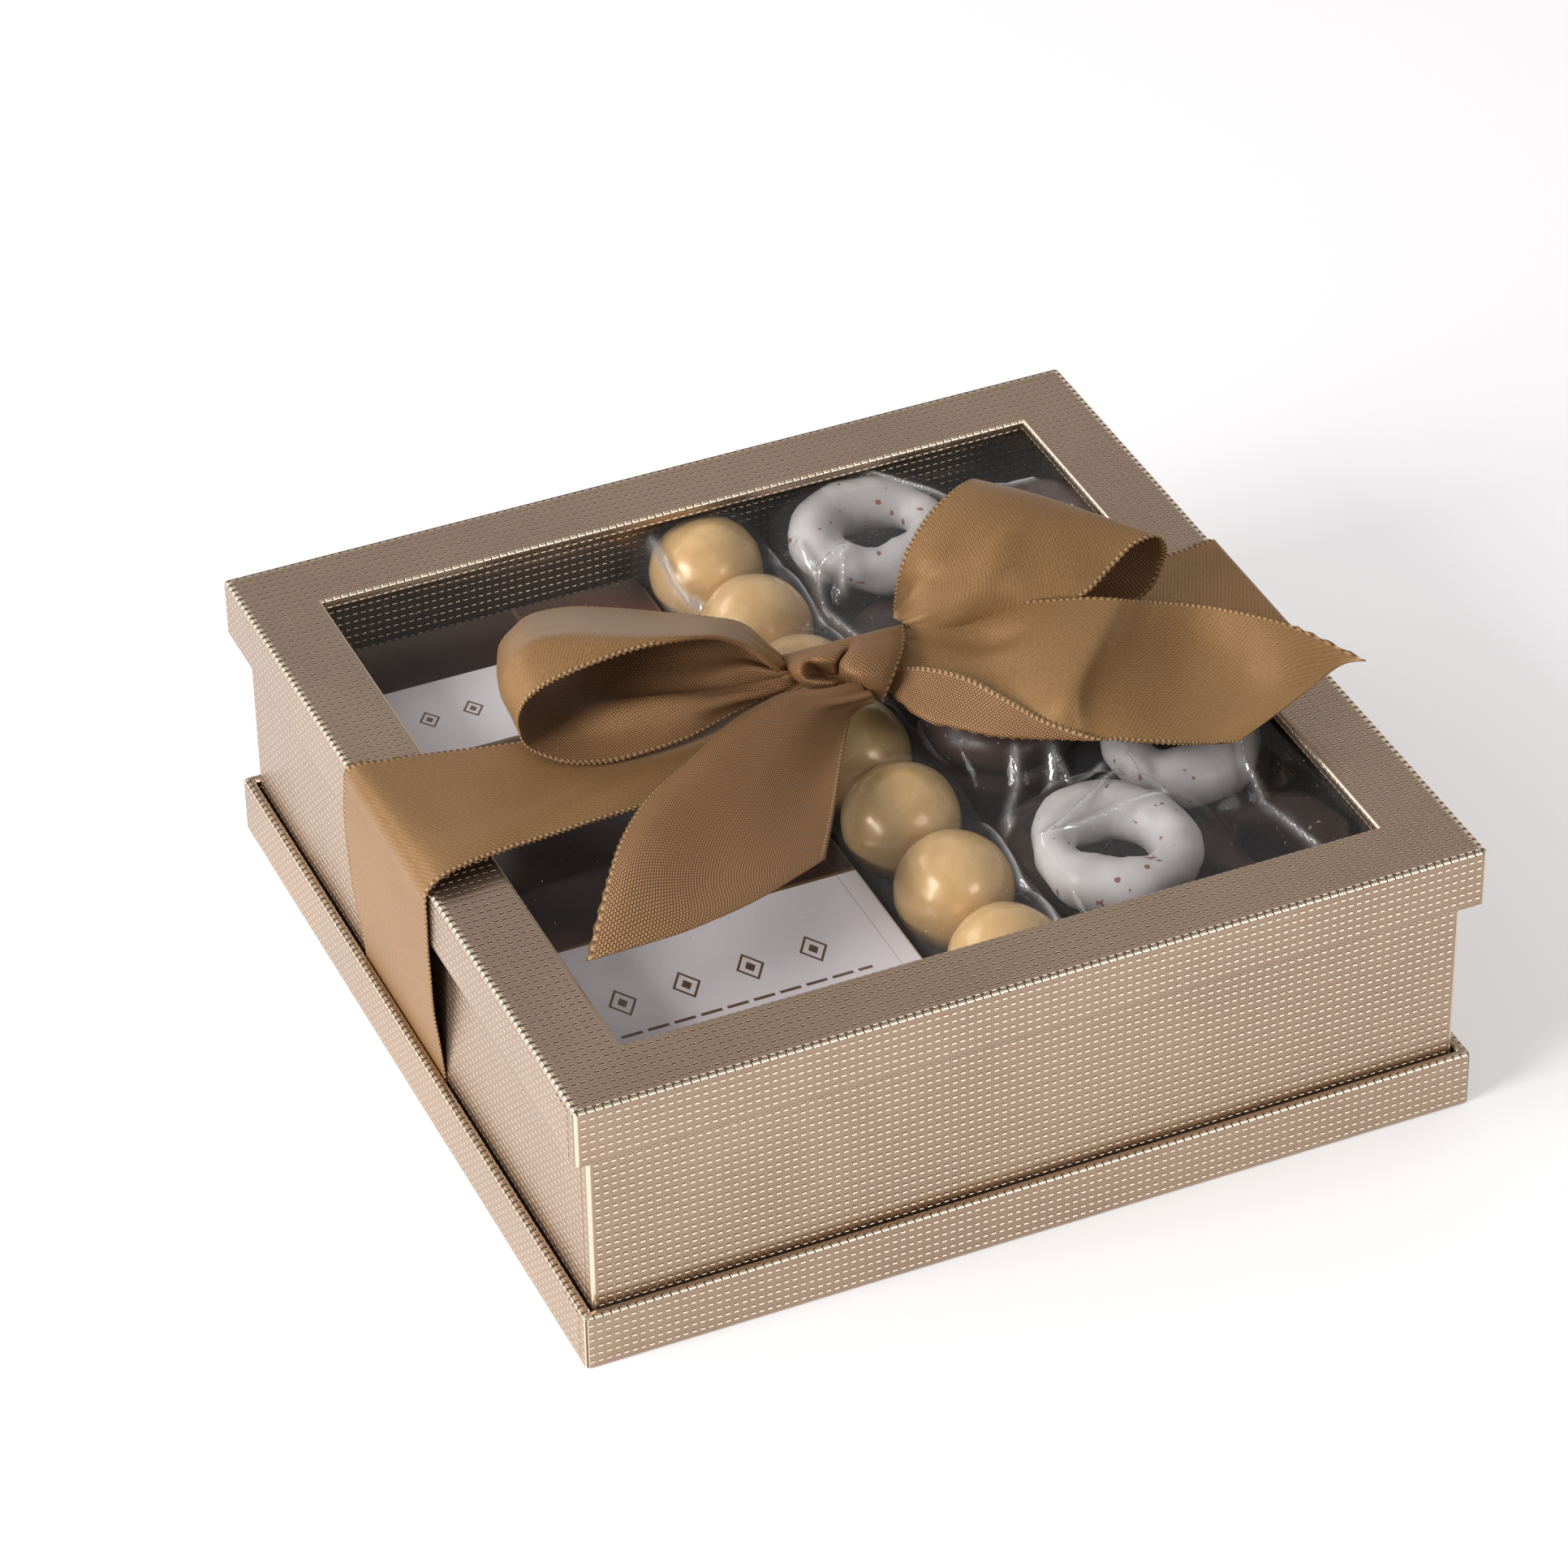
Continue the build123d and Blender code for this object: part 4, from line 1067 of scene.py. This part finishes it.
def makeBarPrint(c):
    mat, where = newMaterial("barPrint")
    low, high = (Vector(p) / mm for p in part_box("bar_wrapper"))
    x, y, z = (part / mm for part in partsOf(where))
    bandLow, bandHigh = c["backBand"]
    front, end, rule = c["frontBand"], c["backEnd"], c["rule"]
    top = spread(z, *(high.z - deep for deep in c["topDeep"]))
    onBack = bandMask(y, bandLow, bandHigh) * fall(x, end - 0.1, end)
    onFront = fall(y, front - 0.05, front + 0.05)
    # brown field: dim slanted light over smooth chocolate
    slant = spread(zigzag((x * c["slant"] + y) / c["slantPitch"]), *c["slantEdge"])
    glow = spread(noiseOf(where, *c["glow"]), *c["glowPatches"])
    colour = blendColours(glow * slant, c["brown"], c["brownWarm"])
    # gold rules beside the white bands
    side = bandMask(x, end, end + rule) * spread(y, bandLow - 0.6, bandLow - 0.4)
    rules = larger(bandMask(y, bandLow - rule, bandLow), bandMask(y, front, front + rule), side)
    colour = blendColours(rules, colour, c["gold"])
    colour = blendColours(larger(onBack, onFront), colour, c["white"])
    # a row of lozenges and two dashed rules on the front band, and three small lozenges on the back one
    inked = lozengeRow(x, y, c["bigLozenge"])
    dashes = spread(zigzag(x / c["dashPitch"]), *c["dashEdge"])
    for place in c["rulesAt"]:
        inked = larger(inked, dashes * bandMask(y, place, place + c["ruleThick"]))
    inked = inked * bandMask(x, low.x + c["bigInset"][0], high.x - c["bigInset"][1]) * onFront
    small = lozengeRow(x, y, c["smallLozenge"]) * bandMask(x, *c["smallSpan"]) * onBack
    colour = blendColours(larger(inked, small), colour, c["ink"])
    # the wrapper's folded end
    crease = high.x - c["foldIn"]
    fold = bandMask(x, crease - c["foldWide"], crease, 0.04)
    flap = spread(x, crease - 0.05, crease + 0.05)
    colour = blendColours(fold * c["foldShare"], colour, c["ink"])
    colour = blendColours(top, c["cream"], colour)
    bump = addBump(noiseOf(where, *c["wrinkles"]) * c["wrinkleShare"] + flap, c["bump"], 0.7)
    return addShader(mat, colour, c["roughness"], Normal=bump, **c["shader"])


# Overlaps of the wrapping paper near the corners, each one strip on the left and one on the right

seams = {
    "lidSeam": {"body": "lid", "x": -90.08, "y": (-86.6, -81.0), "z": (47.2, 58.3)},
    "bodySeam": {"body": "base", "x": -86.88, "y": (-83.6, -77.0), "z": (12.4, 46.6)},
    "baseSeam": {"body": "base", "x": -89.58, "y": (-86.4, -80.0), "z": (0.6, 11.0)},
}
seamPaper = {"thick": 0.16, "sunk": 0.04, "bevel": 0.05}


def makeSeam(name, c, turned):
    bm = bmesh.new()
    bmesh.ops.create_cube(bm, size=1.0)
    size = (seamPaper["thick"], c["y"][1] - c["y"][0], c["z"][1] - c["z"][0])
    middle = (c["x"] + seamPaper["sunk"], sum(c["y"]) / 2, sum(c["z"]) / 2)
    bmesh.ops.scale(bm, verts=bm.verts, vec=Vector(size) * mm)
    bmesh.ops.bevel(bm, geom=bm.edges[:], offset=seamPaper["bevel"] * mm, segments=2, profile=0.5,
                    affect="EDGES", material=-1)
    bmesh.ops.translate(bm, verts=bm.verts, vec=Vector(middle) * mm)
    if turned:
        bmesh.ops.rotate(bm, verts=bm.verts, cent=(0, 0, 0), matrix=Matrix.Rotation(math.pi, 3, "Z"))
    finishPiece(bm, name, c["body"], "foilPaper", smooth=False)


def makeFloor(c):
    bm = bmesh.new()
    bmesh.ops.create_grid(bm, x_segments=1, y_segments=1, size=c["floorSize"] / 2)
    mat, _ = newMaterial("floorPaint")
    addShader(mat, c["floorColour"], c["floorRoughness"], **c["floorShader"])
    meshObject("floor", bm, mat)


def makeWorld(c):
    # a soft room, dim in front and paler towards the back
    world = bpy.data.worlds.new("studio")
    world.use_nodes = True
    sky = world.node_tree.nodes["Background"]
    x, y, z = partsOf(addNode(world, "ShaderNodeTexCoord", "Generated"))
    backness = spread(z * c["worldRise"] + y, *c["worldTurn"])
    colour = blendColours(backness, c["worldFront"], c["worldBack"])
    world.node_tree.links.new(colour.socket, sky.inputs[0])
    sky.inputs[1].default_value = c["worldStrength"]
    bpy.context.scene.world = world


bpy.context.scene.view_settings.view_transform = "Standard"
addCamera(camera)
for name, c in lamps.items():
    addLamp(name, c)
makeFloor(surroundings)
makeWorld(surroundings)
print("scene: camera, lamps and floor")

finishes = {
    "foilPaper": makeEmbossedPaper(embossedPaper),
    "satin": makeSatin(satinSide),
    "woven": makeWoven(wovenSide),
    "barPrint": makeBarPrint(barPrint),
}
for kinds, maker in ((plainPapers, makePlainPaper), (clearFilms, makeClearFilm), (coatings, makeCoating)):
    for name, c in kinds.items():
        finishes[name] = maker(name, c)
print("scene: materials")

nodesOfFinish = {
    "foilPaper": ("base_wrap", "body_wrap", "lid_wrap"),
    "greyBoard": ("base_board", "body_board", "lid_board", "bar_foil"),
    "liningPaper": ("bottom_sheet", "floor_liner", "lid_lining"),
    "brownCard": ("riser",),
    "windowFilm": ("window_film",),
    "barPrint": ("bar_wrapper",),
    "darkCoating": ("bar_chocolate",),
}
for finish, nodes in nodesOfFinish.items():
    for node in nodes:
        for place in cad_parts[node].material_slots:
            place.material = finishes[finish]

makeRibbons(ribbonCloth)
print("scene: ribbon and bow")
makeBalls(ballRow)
makeRings(ring, "white_rings", "whiteRings", "whiteCoating", 1.0)
makeRings(ring, "dark_rings", "darkRings", "darkCoating", 2.6)
makeRings(ring, "dark_rings_lower", "darkRingsLower", "darkCoating", 4.1)
print("scene: sweets")
makeBag("ballBag", bags["ballBag"], sweetTops("chocolate_balls"))
makeBag("ringBag", bags["ringBag"], sweetTops("white_rings") + sweetTops("dark_rings"))
for name, c in seams.items():
    makeSeam(name, c, False)
    makeSeam(name + "Right", c, True)
print("scene: bags and seams")
